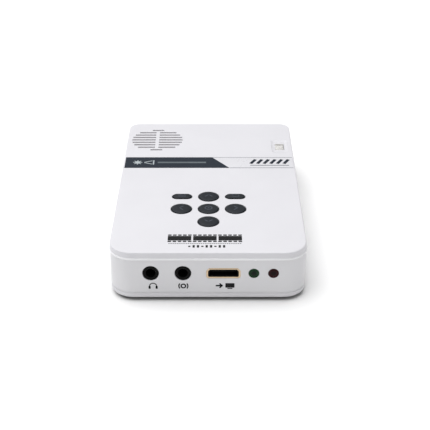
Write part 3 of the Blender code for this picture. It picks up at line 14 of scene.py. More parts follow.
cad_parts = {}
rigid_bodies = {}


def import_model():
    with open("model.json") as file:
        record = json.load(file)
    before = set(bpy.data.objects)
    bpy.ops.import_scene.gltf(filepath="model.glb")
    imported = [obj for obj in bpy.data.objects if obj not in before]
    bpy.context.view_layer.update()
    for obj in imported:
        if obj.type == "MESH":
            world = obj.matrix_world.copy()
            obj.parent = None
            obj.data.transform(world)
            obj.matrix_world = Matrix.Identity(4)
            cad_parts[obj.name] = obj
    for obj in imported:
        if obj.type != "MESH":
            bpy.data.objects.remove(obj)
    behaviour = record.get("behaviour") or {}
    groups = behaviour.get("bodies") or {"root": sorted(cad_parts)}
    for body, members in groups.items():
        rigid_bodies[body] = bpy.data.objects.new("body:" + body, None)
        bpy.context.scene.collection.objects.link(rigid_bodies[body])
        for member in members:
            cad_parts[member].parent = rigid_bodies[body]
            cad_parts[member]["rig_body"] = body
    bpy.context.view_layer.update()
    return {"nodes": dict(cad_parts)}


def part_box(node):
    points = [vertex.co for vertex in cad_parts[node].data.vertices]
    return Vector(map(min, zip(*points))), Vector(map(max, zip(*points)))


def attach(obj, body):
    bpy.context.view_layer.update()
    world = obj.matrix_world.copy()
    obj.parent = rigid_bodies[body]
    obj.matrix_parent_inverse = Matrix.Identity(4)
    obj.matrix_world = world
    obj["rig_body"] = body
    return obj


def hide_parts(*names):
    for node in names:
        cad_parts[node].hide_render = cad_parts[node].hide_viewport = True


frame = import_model()
nodes = frame["nodes"]

MM = 0.001
INK = 0.03  # how far a printed mark stands off its surface
FULL_TURN = 2 * math.pi
MELD = 0.0005  # points nearer than this are one point

NEAR_CORNER = 8.5  # radius of the case's uprights at the socket end
FAR_CORNER = 4.6  # and at the lens end
FLANGE_LOW, FLANGE_HIGH = 17.6, 18.4  # levels of the flanges that hold the keys and the slide under the cover
LAMP_FLANGE = 1.8  # radius of a lamp's widest ring, so its axis lies this far below the lamp's top


def box_of(node):
    """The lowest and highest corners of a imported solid, in millimetres."""
    low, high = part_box(node)
    return low / MM, high / MM


# ---------------------------------------------------------------- finishes


class Finish:
    """A procedural material whose patterns are laid out in the object's own coordinates."""

    def __init__(self, name, colour, roughness, **sockets):
        self.material = bpy.data.materials.new(name)
        self.material.use_nodes = True
        tree = self.material.node_tree
        self.nodes, self.links = tree.nodes, tree.links
        self.shader = self.nodes["Principled BSDF"]
        self.shader.inputs["Base Color"].default_value = (*colour, 1.0)
        self.shader.inputs["Roughness"].default_value = roughness
        for socket, value in sockets.items():
            self.shader.inputs[socket.replace("_", " ")].default_value = value
        self.place = self.nodes.new("ShaderNodeTexCoord").outputs["Object"]
        self.last_relief = None

    def stretched(self, x, y, z):
        """Coordinates drawn out along the axes whose factor is below one."""
        mapping = self.nodes.new("ShaderNodeMapping")
        mapping.inputs["Scale"].default_value = (x, y, z)
        self.links.new(self.place, mapping.inputs["Vector"])
        return mapping.outputs["Vector"]

    def noise(self, size, detail=2.0, where=None):
        """Soft random variation with features of about this size."""
        texture = self.nodes.new("ShaderNodeTexNoise")
        texture.inputs["Scale"].default_value = 1 / (size * MM)
        texture.inputs["Detail"].default_value = detail
        self.links.new(where or self.place, texture.inputs["Vector"])
        return texture.outputs["Fac"]

    def threads(self, pitch, direction):
        """Even bands across one axis, one for each thread."""
        texture = self.nodes.new("ShaderNodeTexWave")
        texture.bands_direction = direction
        texture.inputs["Scale"].default_value = math.pi / 10 / (pitch * MM)
        texture.inputs["Distortion"].default_value = 0.3
        self.links.new(self.place, texture.inputs["Vector"])
        return texture.outputs["Fac"]

    def cells(self, size):
        """Rounded grains or dots about this size."""
        texture = self.nodes.new("ShaderNodeTexVoronoi")
        texture.inputs["Scale"].default_value = 1 / (size * MM)
        self.links.new(self.place, texture.inputs["Vector"])
        return texture.outputs["Distance"]

    def mixed(self, operation, one, other):
        """Two patterns, or a pattern and a number, put through one step of arithmetic."""
        maths = self.nodes.new("ShaderNodeMath")
        maths.operation = operation
        for socket, value in zip(maths.inputs, (one, other)):
            if isinstance(value, float):
                socket.default_value = value
            else:
                self.links.new(value, socket)
        return maths.outputs["Value"]

    def colour(self, factor, *stops):
        """Base colour read from a ramp of (position, colour)."""
        ramp = self.nodes.new("ShaderNodeValToRGB")
        band = ramp.color_ramp
        while len(band.elements) < len(stops):
            band.elements.new(0.5)
        for element, (position, shade) in zip(band.elements, stops):
            element.position = position
            element.color = (*shade, 1.0)
        self.links.new(factor, ramp.inputs["Fac"])
        self.links.new(ramp.outputs["Color"], self.shader.inputs["Base Color"])
        return self

    def gloss(self, factor, low, high):
        """Roughness that wanders between two values."""
        spread = self.nodes.new("ShaderNodeMapRange")
        spread.inputs["From Min"].default_value = 0.3
        spread.inputs["From Max"].default_value = 0.7
        spread.inputs["To Min"].default_value = low
        spread.inputs["To Max"].default_value = high
        self.links.new(factor, spread.inputs["Value"])
        self.links.new(spread.outputs["Result"], self.shader.inputs["Roughness"])
        return self

    def relief(self, height, depth, strength=1.0):
        """Fine surface relief of this depth, added to any relief before it."""
        bump = self.nodes.new("ShaderNodeBump")
        bump.inputs["Distance"].default_value = depth * MM
        bump.inputs["Strength"].default_value = strength
        self.links.new(height, bump.inputs["Height"])
        if self.last_relief:
            self.links.new(self.last_relief, bump.inputs["Normal"])
        self.last_relief = bump.outputs["Normal"]
        self.links.new(self.last_relief, self.shader.inputs["Normal"])
        return self


def moulded(name, light, dark, rough, grain=0.35, depth=0.004, **sockets):
    """Moulded plastic: faint flow marks in the colour, uneven satin gloss and a fine spark-eroded grain."""
    made = Finish(name, light, rough, **sockets)
    made.colour(made.noise(22.0, 3.0), (0.35, dark), (0.62, light))
    made.gloss(made.noise(2.4, 4.0), rough - 0.05, rough + 0.05)
    made.relief(made.noise(grain, 3.0), depth)
    return made


def brushed(name, light, dark, rough, lines=(1.0, 0.04, 1.0), depth=0.002):
    """Drawn or brushed metal with long fine scratches."""
    made = Finish(name, light, rough, Metallic=1.0)
    scratches = made.noise(0.25, 4.0, made.stretched(*lines))
    made.colour(scratches, (0.3, dark), (0.7, light))
    made.gloss(scratches, rough - 0.07, rough + 0.08)
    made.relief(scratches, depth)
    return made


def solder_mask():
    """A printed board: tracks under green lacquer, with bare metal where a hole is plated."""
    board = Finish("green solder mask", (0.02, 0.16, 0.07), 0.3, Coat_Weight=0.4)
    tracks = board.nodes.new("ShaderNodeTexBrick")
    tracks.inputs["Scale"].default_value = 1 / (1.8 * MM)
    tracks.inputs["Mortar Size"].default_value = 0.09
    tracks.inputs["Mortar Smooth"].default_value = 0.2
    board.links.new(board.place, tracks.inputs["Vector"])
    vias = board.mixed("LESS_THAN", board.cells(2.2), 0.12)
    board.colour(board.mixed("MAXIMUM", board.mixed("MULTIPLY", tracks.outputs["Fac"], 0.45), vias),
                 (0.0, (0.010, 0.105, 0.045)), (0.45, (0.030, 0.210, 0.090)), (0.9, (0.72, 0.52, 0.22)))
    return board.relief(tracks.outputs["Fac"], 0.02, 0.5)


def cast_metal():
    cast = Finish("blasted aluminium", (0.58, 0.59, 0.60), 0.48, Metallic=1.0)
    cast.colour(cast.noise(6.0, 4.0), (0.3, (0.52, 0.53, 0.54)), (0.7, (0.62, 0.63, 0.64)))
    return cast.relief(cast.noise(0.18, 2.0), 0.012)


def foot_rubber():
    rubber = Finish("grey black rubber", (0.035, 0.035, 0.037), 0.78)
    rubber.colour(rubber.noise(1.4, 4.0), (0.3, (0.026, 0.026, 0.028)), (0.7, (0.045, 0.045, 0.047)))
    return rubber.relief(rubber.noise(0.15, 3.0), 0.02)


def shrink_film():
    wrap = Finish("blue heat shrink film", (0.02, 0.06, 0.15), 0.24, Coat_Weight=0.5)
    creases = wrap.noise(3.0, 4.0, wrap.stretched(1.0, 0.25, 1.0))
    wrap.colour(creases, (0.3, (0.014, 0.045, 0.115)), (0.7, (0.024, 0.070, 0.165)))
    return wrap.relief(creases, 0.12)


def speaker_cloth():
    cloth = Finish("woven speaker cloth", (0.34, 0.29, 0.26), 0.85, Sheen_Weight=0.3)
    weave = cloth.mixed("MULTIPLY", cloth.threads(0.45, "X"), cloth.threads(0.45, "Y"))
    cloth.colour(weave, (0.0, (0.34, 0.265, 0.225)), (0.6, (0.62, 0.50, 0.435)))
    return cloth.relief(weave, 0.12)


def cone_paper():
    cone = Finish("pressed paper", (0.05, 0.048, 0.045), 0.9)
    fibres = cone.noise(0.5, 6.0)
    cone.colour(fibres, (0.3, (0.030, 0.029, 0.027)), (0.7, (0.075, 0.072, 0.067)))
    return cone.relief(fibres, 0.06)


def lamp_epoxy_with_painted_shade(node, rim, painted_shade_centre):
    """Tinted resin, darkened towards the middle of the lamp by painted shade."""
    low, high = box_of(node)
    lamp = Finish(f"tinted {node.replace('_', ' ')} epoxy", rim, 0.16, Specular_IOR_Level=0.10)
    # painted shade: the tint darkens from the lamp's rim to its middle
    painted_shade_gradient = lamp.nodes.new("ShaderNodeTexGradient")
    painted_shade_gradient.gradient_type = "SPHERICAL"
    centre = lamp.nodes.new("ShaderNodeMapping")
    middle = Vector(((low.x + high.x) / 2, low.y, high.z - LAMP_FLANGE))
    centre.inputs["Location"].default_value = -middle / LAMP_FLANGE
    centre.inputs["Scale"].default_value = (1 / (LAMP_FLANGE * MM),) * 3
    lamp.links.new(lamp.place, centre.inputs["Vector"])
    lamp.links.new(centre.outputs["Vector"], painted_shade_gradient.inputs["Vector"])
    swirl = lamp.mixed("MULTIPLY", lamp.noise(0.9, 2.0), 0.25)
    lamp.colour(lamp.mixed("ADD", painted_shade_gradient.outputs["Fac"], swirl), (0.20, rim), (0.75, painted_shade_centre))
    return lamp.relief(lamp.noise(0.4, 2.0), 0.004)


def coated_glass():
    glass = Finish("coated glass", (0.92, 0.94, 0.98), 0.02, Transmission_Weight=1.0, IOR=1.52,
                   Thin_Film_Thickness=430.0, Thin_Film_IOR=1.9)
    return glass.gloss(glass.noise(1.5, 4.0), 0.01, 0.035)


def bead_with_painted_highlight():
    """The rim that the two mouldings meet at: glossier than the satin round it, and lighter, a painted
    highlight along the seam.
    """
    return moulded("glossy white bead plastic with painted highlight", (0.84, 0.84, 0.86), (0.81, 0.81, 0.83), 0.24, grain=0.8, depth=0.002)


def lower_cover_with_painted_shade():
    """The lower cover's plastic, a little darker than the upper plastic and turning near black below the
    rounded edge: painted shade for the cover's low place by the floor and the contact shadow under it.
    """
    white, painted_edge_shade, painted_underside_shade = (0.65, 0.647, 0.67), (0.055, 0.056, 0.060), (0.030, 0.031, 0.034)
    made = moulded("lower cover plastic with painted underside shade", white, (0.635, 0.632, 0.655), 0.42)
    heights = made.nodes.new("ShaderNodeSeparateXYZ")
    made.links.new(made.place, heights.inputs["Vector"])
    speckle = made.mixed("MULTIPLY", made.noise(0.5, 3.0), 0.02 * MM)
    level = made.mixed("ADD", heights.outputs["Z"], speckle)
    # painted shade: below this height the colour darkens to grey and then to near black
    spread = made.nodes.new("ShaderNodeMapRange")
    base = box_of("bottom_cover")[0].z
    spread.inputs["From Min"].default_value = (base + 0.12) * MM
    spread.inputs["From Max"].default_value = (base + 0.48) * MM
    made.links.new(level, spread.inputs["Value"])
    return made.colour(spread.outputs["Result"], (0.0, painted_underside_shade), (0.35, painted_edge_shade), (1.0, white))


def make_finishes():
    """Every finish under the name of its material slot, and the few that one piece has to itself."""
    finishes = {
        "white_plastic": moulded("satin white case plastic", (0.662, 0.657, 0.688), (0.645, 0.640, 0.671),
                                 0.42, Coat_Weight=0.05),
        "white_frame": moulded("white frame plastic", (0.668, 0.665, 0.684), (0.652, 0.649, 0.668), 0.42),
        "switch_white": moulded("cream slide plastic", (0.83, 0.82, 0.805), (0.80, 0.788, 0.77), 0.38),
        "key_plastic": moulded("slate key plastic", (0.0095, 0.013, 0.018), (0.007, 0.010, 0.0145), 0.48,
                               grain=0.22, depth=0.006, Specular_IOR_Level=0.2),
        "black_plastic": moulded("black moulded plastic", (0.004, 0.004, 0.004), (0.003, 0.003, 0.003), 0.40,
                                 Specular_IOR_Level=0.08),
        "stripe_print": moulded("white printed film", (0.662, 0.658, 0.688), (0.648, 0.644, 0.674), 0.30,
                                grain=0.6, depth=0.002),
        "board_green": solder_mask(),
        "gold_plate": brushed("gold flashed shell", (0.68, 0.53, 0.36), (0.58, 0.45, 0.30), 0.34),
        "steel": brushed("bright nickel steel", (0.62, 0.61, 0.60), (0.50, 0.49, 0.48), 0.28),
        "brass": brushed("turned brass", (0.74, 0.55, 0.26), (0.62, 0.44, 0.19), 0.26, (1.0, 1.0, 0.04)),
        "copper": brushed("drawn copper", (0.76, 0.40, 0.26), (0.62, 0.29, 0.17), 0.30, (0.04, 1.0, 1.0)),
        "aluminium": cast_metal(),
        "rubber": foot_rubber(),
        "lead_black": moulded("black wire sleeve", (0.02, 0.02, 0.022), (0.013, 0.013, 0.014), 0.45),
        "battery_wrap": shrink_film(),
        "cloth": speaker_cloth(),
        "paper_cone": cone_paper(),
        "green_lens": lamp_epoxy_with_painted_shade("green_indicator", (0.012, 0.045, 0.018), (0.004, 0.010, 0.006)),
        "red_lens": lamp_epoxy_with_painted_shade("red_indicator", (0.031, 0.005, 0.006), (0.008, 0.002, 0.002)),
        "glass": coated_glass(),
        "polished rim": bead_with_painted_highlight(),
        "lower cover": lower_cover_with_painted_shade(),
        "knurled ring": moulded("knurled ring plastic", (0.022, 0.022, 0.024), (0.016, 0.016, 0.018), 0.5),
    }
    return {name: made.material for name, made in finishes.items()}


def make_inks():
    """Printing inks for the marks, slightly uneven as screen printing is."""
    inks = {}
    for name, light, dark, rough in (("black", (0.006, 0.006, 0.007), (0.004, 0.004, 0.005), 0.5),
                                     ("slate", (0.013, 0.020, 0.031), (0.011, 0.017, 0.028), 0.42),
                                     ("grey", (0.20, 0.215, 0.24), (0.175, 0.19, 0.21), 0.45),
                                     ("pale", (0.42, 0.46, 0.48), (0.36, 0.40, 0.42), 0.45),
                                     ("faint", (0.125, 0.145, 0.160), (0.105, 0.125, 0.140), 0.45),
                                     ("key grey", (0.060, 0.068, 0.085), (0.050, 0.058, 0.074), 0.5)):
        inks[name] = moulded(f"{name} ink", light, dark, rough, grain=0.5, depth=0.002,
                             Specular_IOR_Level=0.15).material
    return inks


FINISHES = make_finishes()
INKS = make_inks()


# ---------------------------------------------------------------- shaping


def newly_made(bm, before):
    """The points that were not there before."""
    return [vert for vert in bm.verts if vert not in before]


def edges_of(verts):
    """The edges at these points, each once, in the points' own order."""
    return list(dict.fromkeys(edge for vert in verts for edge in vert.link_edges))


def faces_of(verts):
    """The faces at these points, each once, in the points' own order."""
    return list(dict.fromkeys(face for vert in verts for face in vert.link_faces))


def face_outwards(bm, verts):
    """Merges doubled points of a shape, turns its faces outwards and returns its points."""
    others = set(bm.verts) - set(verts)
    bmesh.ops.remove_doubles(bm, verts=verts, dist=MELD)
    made = newly_made(bm, others)
    bmesh.ops.recalc_face_normals(bm, faces=faces_of(made))
    return made


def turned(bm, profile, centre=(0.0, 0.0, 0.0), axis="Z", steps=48, closed=False):
    """Turns a profile of (radius, distance along the axis) into a round solid."""
    before = set(bm.verts)
    verts = [bm.verts.new((radius, 0.0, height)) for radius, height in profile]
    edges = [bm.edges.new(pair) for pair in zip(verts, verts[1:])]
    if closed:
        edges.append(bm.edges.new((verts[-1], verts[0])))
    bmesh.ops.spin(bm, geom=verts + edges, cent=(0, 0, 0), axis=(0, 0, 1), angle=FULL_TURN, steps=steps,
                   use_merge=True)
    made = face_outwards(bm, newly_made(bm, before))
    lay = {"Z": Matrix(), "Y": Matrix.Rotation(math.radians(-90), 4, "X"),
           "X": Matrix.Rotation(math.radians(90), 4, "Y")}[axis]
    bmesh.ops.transform(bm, matrix=Matrix.Translation(centre) @ lay, verts=made)


def bar(bm, centre, size, turn=0.0, corner=0.0, top=0.0):
    """A block about its centre, turned about Z, with rounded uprights and a rounded top rim."""
    before = set(bm.verts)
    bmesh.ops.create_cube(bm, size=1.0, matrix=Matrix.Diagonal((*size, 1.0)))
    made = newly_made(bm, before)
    if corner:
        uprights = [edge for edge in edges_of(made)
                    if abs(edge.verts[0].co.z - edge.verts[1].co.z) > size[2] / 2]
        bmesh.ops.bevel(bm, geom=uprights, offset=corner, offset_type="OFFSET", segments=8, profile=0.5,
                        affect="EDGES", material=-1)
        made = newly_made(bm, before)
    if top:
        rim = [edge for edge in edges_of(made) if min(vert.co.z for vert in edge.verts) > size[2] / 2 - 1e-4]
        bmesh.ops.bevel(bm, geom=rim, offset=top, offset_type="OFFSET", segments=3, profile=0.5,
                        affect="EDGES", material=-1)
        made = newly_made(bm, before)
    lay = Matrix.Translation(centre) @ Matrix.Rotation(math.radians(turn), 4, "Z")
    bmesh.ops.transform(bm, matrix=lay, verts=made)


def arc(bm, centre, radius, width, start=0.0, sweep=360.0, height=INK):
    """A flat curved stroke: a small square swept part of the way round."""
    before = set(bm.verts)
    corners = [(radius - width / 2, 0.0), (radius + width / 2, 0.0), (radius + width / 2, height),
               (radius - width / 2, height)]
    face = bm.faces.new([bm.verts.new((x, 0.0, z)) for x, z in corners])
    whole = abs(sweep) > 359.9
    if whole:
        edges = list(face.edges)
        bmesh.ops.delete(bm, geom=[face], context="FACES_ONLY")
        geometry = edges + newly_made(bm, before)
    else:
        geometry = [face, *face.edges, *face.verts]
    bmesh.ops.spin(bm, geom=geometry, cent=(0, 0, 0), axis=(0, 0, 1), angle=math.radians(sweep),
                   steps=max(6, int(abs(sweep) / 9)), use_merge=whole)
    made = face_outwards(bm, newly_made(bm, before))
    lay = Matrix.Translation(centre) @ Matrix.Rotation(math.radians(start), 4, "Z")
    bmesh.ops.transform(bm, matrix=lay, verts=made)


def stroke(bm, start, end, width, height=INK):
    """A straight flat stroke between two points of a drawing."""
    start, end = Vector(start), Vector(end)
    middle, along = (start + end) / 2, end - start
    bar(bm, (middle.x, middle.y, height / 2), (along.length + width * 0.6, width, height),
        turn=math.degrees(math.atan2(along.y, along.x)))


def carried_round(bm, section, corners, steps=8):
    """Carries a closed section of (outwards, up) once round a convex outline of (x, y, radius) corners."""
    before = set(bm.verts)
    spots = [Vector((x, y, 0.0)) for x, y, _ in corners]
    count = len(spots)
    ways = [(spots[(i + 1) % count] - spots[i]).normalized() for i in range(count)]
    turns = [ways[i - 1].xy.angle_signed(ways[i].xy) * -1 for i in range(count)]
    cuts = [corner[2] * math.tan(turn / 2) for corner, turn in zip(corners, turns)]
    outward = Vector((ways[0].y, -ways[0].x, 0.0))
    start = spots[0] + ways[0] * cuts[0]
    verts = [bm.verts.new(start + outward * out + Vector((0, 0, up))) for out, up in section]
    edges = [bm.edges.new((vert, verts[i - 1])) for i, vert in enumerate(verts)]
    for number in range(1, count + 1):
        here = number % count
        way, radius = ways[here - 1], corners[here][2]
        length = (spots[here] - spots[here - 1]).length - cuts[here - 1] - cuts[here]
        new = bmesh.ops.extrude_edge_only(bm, edges=edges)["geom"]
        verts = [part for part in new if isinstance(part, bmesh.types.BMVert)]
        edges = [part for part in new if isinstance(part, bmesh.types.BMEdge)
                 and part.verts[0] in verts and part.verts[1] in verts]
        bmesh.ops.translate(bm, verts=verts, vec=way * length)
        hub = spots[here] - way * cuts[here] + Vector((-way.y, way.x, 0.0)) * radius
        last = bmesh.ops.spin(bm, geom=verts + edges, cent=hub, axis=(0, 0, 1), angle=turns[here],
                              steps=steps)["geom_last"]
        verts = [part for part in last if isinstance(part, bmesh.types.BMVert)]
        edges = [part for part in last if isinstance(part, bmesh.types.BMEdge)]
    face_outwards(bm, newly_made(bm, before))


def box_corners(low, high, near_radius, far_radius):
    """The corners of a rectangle, for carried_round."""
    return [(low.x, low.y, near_radius), (high.x, low.y, near_radius),
            (high.x, high.y, far_radius), (low.x, high.y, far_radius)]


def finished(bm, name, material, body, stands_for=(), crease=35.0):
    """Scales a drawn shape to metres and makes it a finished piece on its body."""
    bmesh.ops.scale(bm, vec=(MM, MM, MM), verts=bm.verts)
    mesh = bpy.data.meshes.new(name)
    bm.to_mesh(mesh)
    bm.free()
    mesh.materials.append(material)
    mesh.shade_smooth()
    mesh.set_sharp_from_angle(angle=math.radians(crease))
    piece = bpy.data.objects.new(name, mesh)
    bpy.context.scene.collection.objects.link(piece)
    if stands_for:
        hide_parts(*stands_for)
    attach(piece, body)
    return piece


def softened(node, name, edge=0.12, crease=35.0, segments=2):
    """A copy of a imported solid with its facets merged, its sharp edges eased and its curves shaded smooth."""
    source = nodes[node]
    bm = bmesh.new()
    bm.from_mesh(source.data)
    bmesh.ops.scale(bm, vec=(1 / MM, 1 / MM, 1 / MM), verts=bm.verts)
    bmesh.ops.remove_doubles(bm, verts=bm.verts, dist=0.002)
    bmesh.ops.dissolve_limit(bm, angle_limit=math.radians(0.6), verts=bm.verts, edges=bm.edges)
    if edge:
        sharp = [e for e in bm.edges if e.is_manifold and e.calc_face_angle() > math.radians(crease)]
        bmesh.ops.bevel(bm, geom=sharp, offset=edge, offset_type="OFFSET", segments=segments, profile=0.5,
                        affect="EDGES", material=-1, clamp_overlap=False)
    slot = source.data.materials[0].name
    piece = finished(bm, name, FINISHES[slot], source["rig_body"], (node,), crease=crease + 12)
    weighted = piece.modifiers.new("even_shading", "WEIGHTED_NORMAL")
    weighted.keep_sharp = True
    return piece


# ---------------------------------------------------------------- marks


ON_TOP = Matrix()
ON_PANEL = Matrix.Rotation(math.radians(90), 4, "X")  # drawn as seen from the socket end


def mark(name, ink, spot, draw, body="case", onto=ON_TOP):
    """Prints a drawing at a spot, on the top or on the socket panel."""
    bm = bmesh.new()
    draw(bm)
    bmesh.ops.transform(bm, matrix=Matrix.Translation(spot) @ onto, verts=bm.verts)
    return finished(bm, name, INKS[ink], body)


def draw_headphones(bm):
    arc(bm, (0, -0.1, 0), 1.28, 0.36, 0.0, 180.0)
    for side in (-1, 1):
        bar(bm, (side * 1.26, -0.6, INK / 2), (0.78, 1.25, INK), corner=0.3)


def draw_plug(bm):
    """A round socket seen from the front, between two brackets."""
    arc(bm, (0, 0, 0), 0.78, 0.5)
    for side in (-1, 1):
        arc(bm, (0, 0, 0), 1.62, 0.46, -40.0 if side > 0 else 140.0, 80.0)


def draw_monitor(bm):
    """An arrow into a screen on its foot."""
    stroke(bm, (-3.2, 0.15), (-1.3, 0.15), 0.62)
    for side in (-1, 1):
        stroke(bm, (-1.1, 0.15), (-1.9, 0.15 + side * 0.8), 0.55)
    bar(bm, (1.7, 0.25, INK / 2), (3.3, 1.9, INK), corner=0.25)
    stroke(bm, (0.9, -1.05), (2.5, -1.05), 0.38)


def draw_film_strip(bm):
    """Three picture frames between two rows of sprocket holes."""
    for frame_x in (-9.15, 0.0, 9.15):
        bar(bm, (frame_x, 0.0, INK / 2), (8.5, 3.2, INK), corner=0.3)
    for row in (-2.25, 2.25):
        for step in range(15):
            bar(bm, (-12.74 + 1.82 * step, row, INK / 2), (1.3, 0.8, INK), corner=0.12)


def draw_fine_line(bm):
    for step in range(34):
        stroke(bm, (-13.0 + step * 0.775, 0.0), (-12.6 + step * 0.775, 0.0), 0.3)


def draw_dots(bm):
    for step in range(9):
        bar(bm, (-6.2 + 1.55 * step, 0.0, INK / 2), (0.8, 1.7 if step % 3 else 0.8, INK), corner=0.15)


def draw_lamp(bm):
    """A lamp with rays, the usual sign for brightness."""
    arc(bm, (0, 0, 0), 0.55, 1.1)
    for step in range(8):
        angle = math.radians(45 * step)
        inner, outer = 1.2, 1.8
        stroke(bm, (inner * math.cos(angle), inner * math.sin(angle)),
               (outer * math.cos(angle), outer * math.sin(angle)), 0.4)


def draw_beam(bm):
    """A widening beam that falls on a screen."""
    stroke(bm, (-1.7, 0.22), (1.3, 1.5), 0.45)
    stroke(bm, (-1.7, -0.22), (1.3, -1.5), 0.45)
    stroke(bm, (2.0, 1.8), (2.0, -1.8), 0.55)


def draw_dashes(bm):
    left = -9.3
    for length in (2.4, 0.7, 1.5, 3.2, 0.7, 2.0, 0.7, 2.8):
        stroke(bm, (left, 0.0), (left + length, 0.0), 1.3)
        left += length + 0.75


def draw_slashes(bm):
    for step in range(6):
        foot = -7.6 + step * 2.75
        stroke(bm, (foot, -1.6), (foot + 1.7, 1.6), 1.35)


def draw_chevron(bm):
    for side in (-1, 1):
        stroke(bm, (0.0, 0.75), (side * 1.35, -0.55), 0.42, 0.05)


def draw_ring(bm):
    arc(bm, (0, 0, 0), 1.3, 0.42, height=0.05)
    arc(bm, (0, 0, 0), 0.2, 0.4, height=0.05)


def draw_list(bm):
    for row in (-0.75, 0.0, 0.75):
        stroke(bm, (-1.4, row), (1.4, row), 0.3, 0.05)


def draw_return(bm):
    arc(bm, (0.7, 0.0, 0), 0.75, 0.3, -90.0, 180.0, 0.05)
    stroke(bm, (0.7, -0.75), (-0.9, -0.75), 0.3, 0.05)
    stroke(bm, (0.7, 0.75), (-1.0, 0.75), 0.3, 0.05)
    for side in (-1, 1):
        stroke(bm, (-1.35, 0.75), (-0.75, 0.75 + side * 0.6), 0.3, 0.05)


def turned_drawing(draw, degrees):
    """The same drawing turned round its centre."""
    def turned_draw(bm):
        draw(bm)
        bmesh.ops.rotate(bm, verts=bm.verts, cent=(0, 0, 0),
                         matrix=Matrix.Rotation(math.radians(degrees), 3, "Z"))
    return turned_draw


# ---------------------------------------------------------------- case


def round_the_case(name, finish, section):
    """A band carried round the case's outline, from a section of (outwards, level)."""
    low, high = box_of("middle_frame")
    bm = bmesh.new()
    carried_round(bm, section, box_corners(low, high, NEAR_CORNER, FAR_CORNER))
    finished(bm, name, FINISHES[finish], "case", crease=60.0)


def make_case():
    softened("top_cover", "top_cover_shell")
    softened("middle_frame", "middle_frame_shell")
    lower = softened("bottom_cover", "bottom_cover_shell")
    # the lower cover's finish has painted shade on its underside and lower edge
    lower.material_slots[0].material = FINISHES["lower cover"]

    rim = box_of("middle_frame")[1].z
    round_the_case("shoulder_filler", "white_frame",
                   [(-0.75, rim - 0.95), (-0.12, rim - 0.95), (0.0, rim - 0.85), (0.02, rim - 0.30),
                    (-0.10, rim - 0.20), (-0.75, rim - 0.20)])
    # the bead's lighter white is a painted highlight along the upper seam
    round_the_case("upper_seam_bead", "polished rim",
                   [(-0.75, rim - 0.34), (0.0, rim - 0.34), (0.18, rim - 0.24), (0.28, rim - 0.06),
                    (0.28, rim + 0.14), (0.18, rim + 0.34), (0.0, rim + 0.50), (-0.24, rim + 0.58),
                    (-0.75, rim + 0.58)])
    foot = box_of("middle_frame")[0].z
    round_the_case("lower_seam_gasket", "white_frame",
                   [(-0.60, foot - 0.42), (-0.30, foot - 0.42), (-0.18, foot - 0.30), (-0.14, foot - 0.15),
                    (-0.18, foot), (-0.30, foot + 0.12), (-0.60, foot + 0.12)])
    for number in range(1, 5):
        softened(f"foot_{number}", f"foot_pad_{number}", edge=0.35, segments=3)


def make_stripe():
    """The printed film that fills the recess across the top, dark up to a slanted end."""
    low, high = box_of("stripe_label")
    recess_gap = Vector((0.17, 0.17, 0.0))
    low, high = low - recess_gap, high + recess_gap
    middle, top, depth = (low + high) / 2, high.z, high.y - low.y
    bm = bmesh.new()
    bar(bm, middle, high - low, corner=0.05, top=0.04)
    finished(bm, "stripe_film", FINISHES["stripe_print"], "case", ("stripe_label",))

    slant_near, slant_far = 8.4, 1.2
    left = low.x + 0.02
    bm = bmesh.new()
    bar(bm, ((left + slant_near) / 2, middle.y, top + INK / 2), (slant_near - left, depth - 0.04, INK))
    slope = Vector((depth, slant_near - slant_far, 0.0)).normalized()
    cut = bmesh.ops.bisect_plane(bm, geom=[*bm.verts, *bm.edges, *bm.faces], plane_no=slope,
                                 plane_co=(slant_near, low.y, top), clear_outer=True)
    rim = [part for part in cut["geom_cut"] if isinstance(part, bmesh.types.BMEdge)]
    bmesh.ops.holes_fill(bm, edges=rim, sides=8)
    finished(bm, "stripe_dark_panel", INKS["slate"], "case")

    line_width = 0.24
    for side, y, start in (("near", low.y + line_width / 2, slant_near),
                           ("far", high.y - line_width / 2, slant_far)):
        mark(f"stripe_{side}_line", "grey", ((start + high.x) / 2, y, top),
             lambda bm, long=high.x - start - 0.1: bar(bm, (0, 0, INK / 2), (long, line_width, INK)))

    mark("lamp_sign", "pale", (-29.6, middle.y, top + INK), draw_lamp)
    mark("beam_sign", "pale", (-25.0, middle.y, top + INK), draw_beam)
    mark("stripe_dashes", "faint", (-11.6, middle.y, top + INK), draw_dashes)
    mark("stripe_slashes", "slate", (25.0, middle.y + 0.9, top), draw_slashes)
    mark("stripe_underline", "grey", (25.0, middle.y - 2.6, top),
         lambda bm: bar(bm, (0, 0, INK / 2), (16.0, 0.55, INK)))


def make_top_prints():
    low, high = box_of("top_cover")
    mark("film_strip_sign", "black", (-1.2, low.y + 10.2, high.z), draw_film_strip)
    mark("fine_line", "black", (-1.2, low.y + 6.45, high.z), draw_fine_line)
    mark("dot_row", "black", (-0.5, low.y + 4.5, high.z), draw_dots)


# ---------------------------------------------------------------- keys and switch


KEY_STEM = 1.2  # radius of the stem that presses the switch
KEY_LIP = 0.65  # how far a key's flange reaches out under the cover


def pill_key(bm, low, high):
    """A long key with round ends over its flange, drawn about the stem's axis."""
    width, depth = high.x - low.x, high.y - low.y
    cap_width, cap_depth = width - 2 * KEY_LIP, depth - 2 * KEY_LIP
    bar(bm, (0, 0, (high.z + FLANGE_LOW) / 2), (cap_width, cap_depth, high.z - FLANGE_LOW),
        corner=cap_depth / 2 - 0.01, top=0.4)
    bar(bm, (0, 0, (FLANGE_LOW + FLANGE_HIGH) / 2), (width - 0.02, depth - 0.02, FLANGE_HIGH - FLANGE_LOW),
        corner=depth / 2 - 0.1)
    turned(bm, [(0.0, FLANGE_LOW), (KEY_STEM, FLANGE_LOW), (KEY_STEM, low.z), (0.0, low.z)], steps=24)


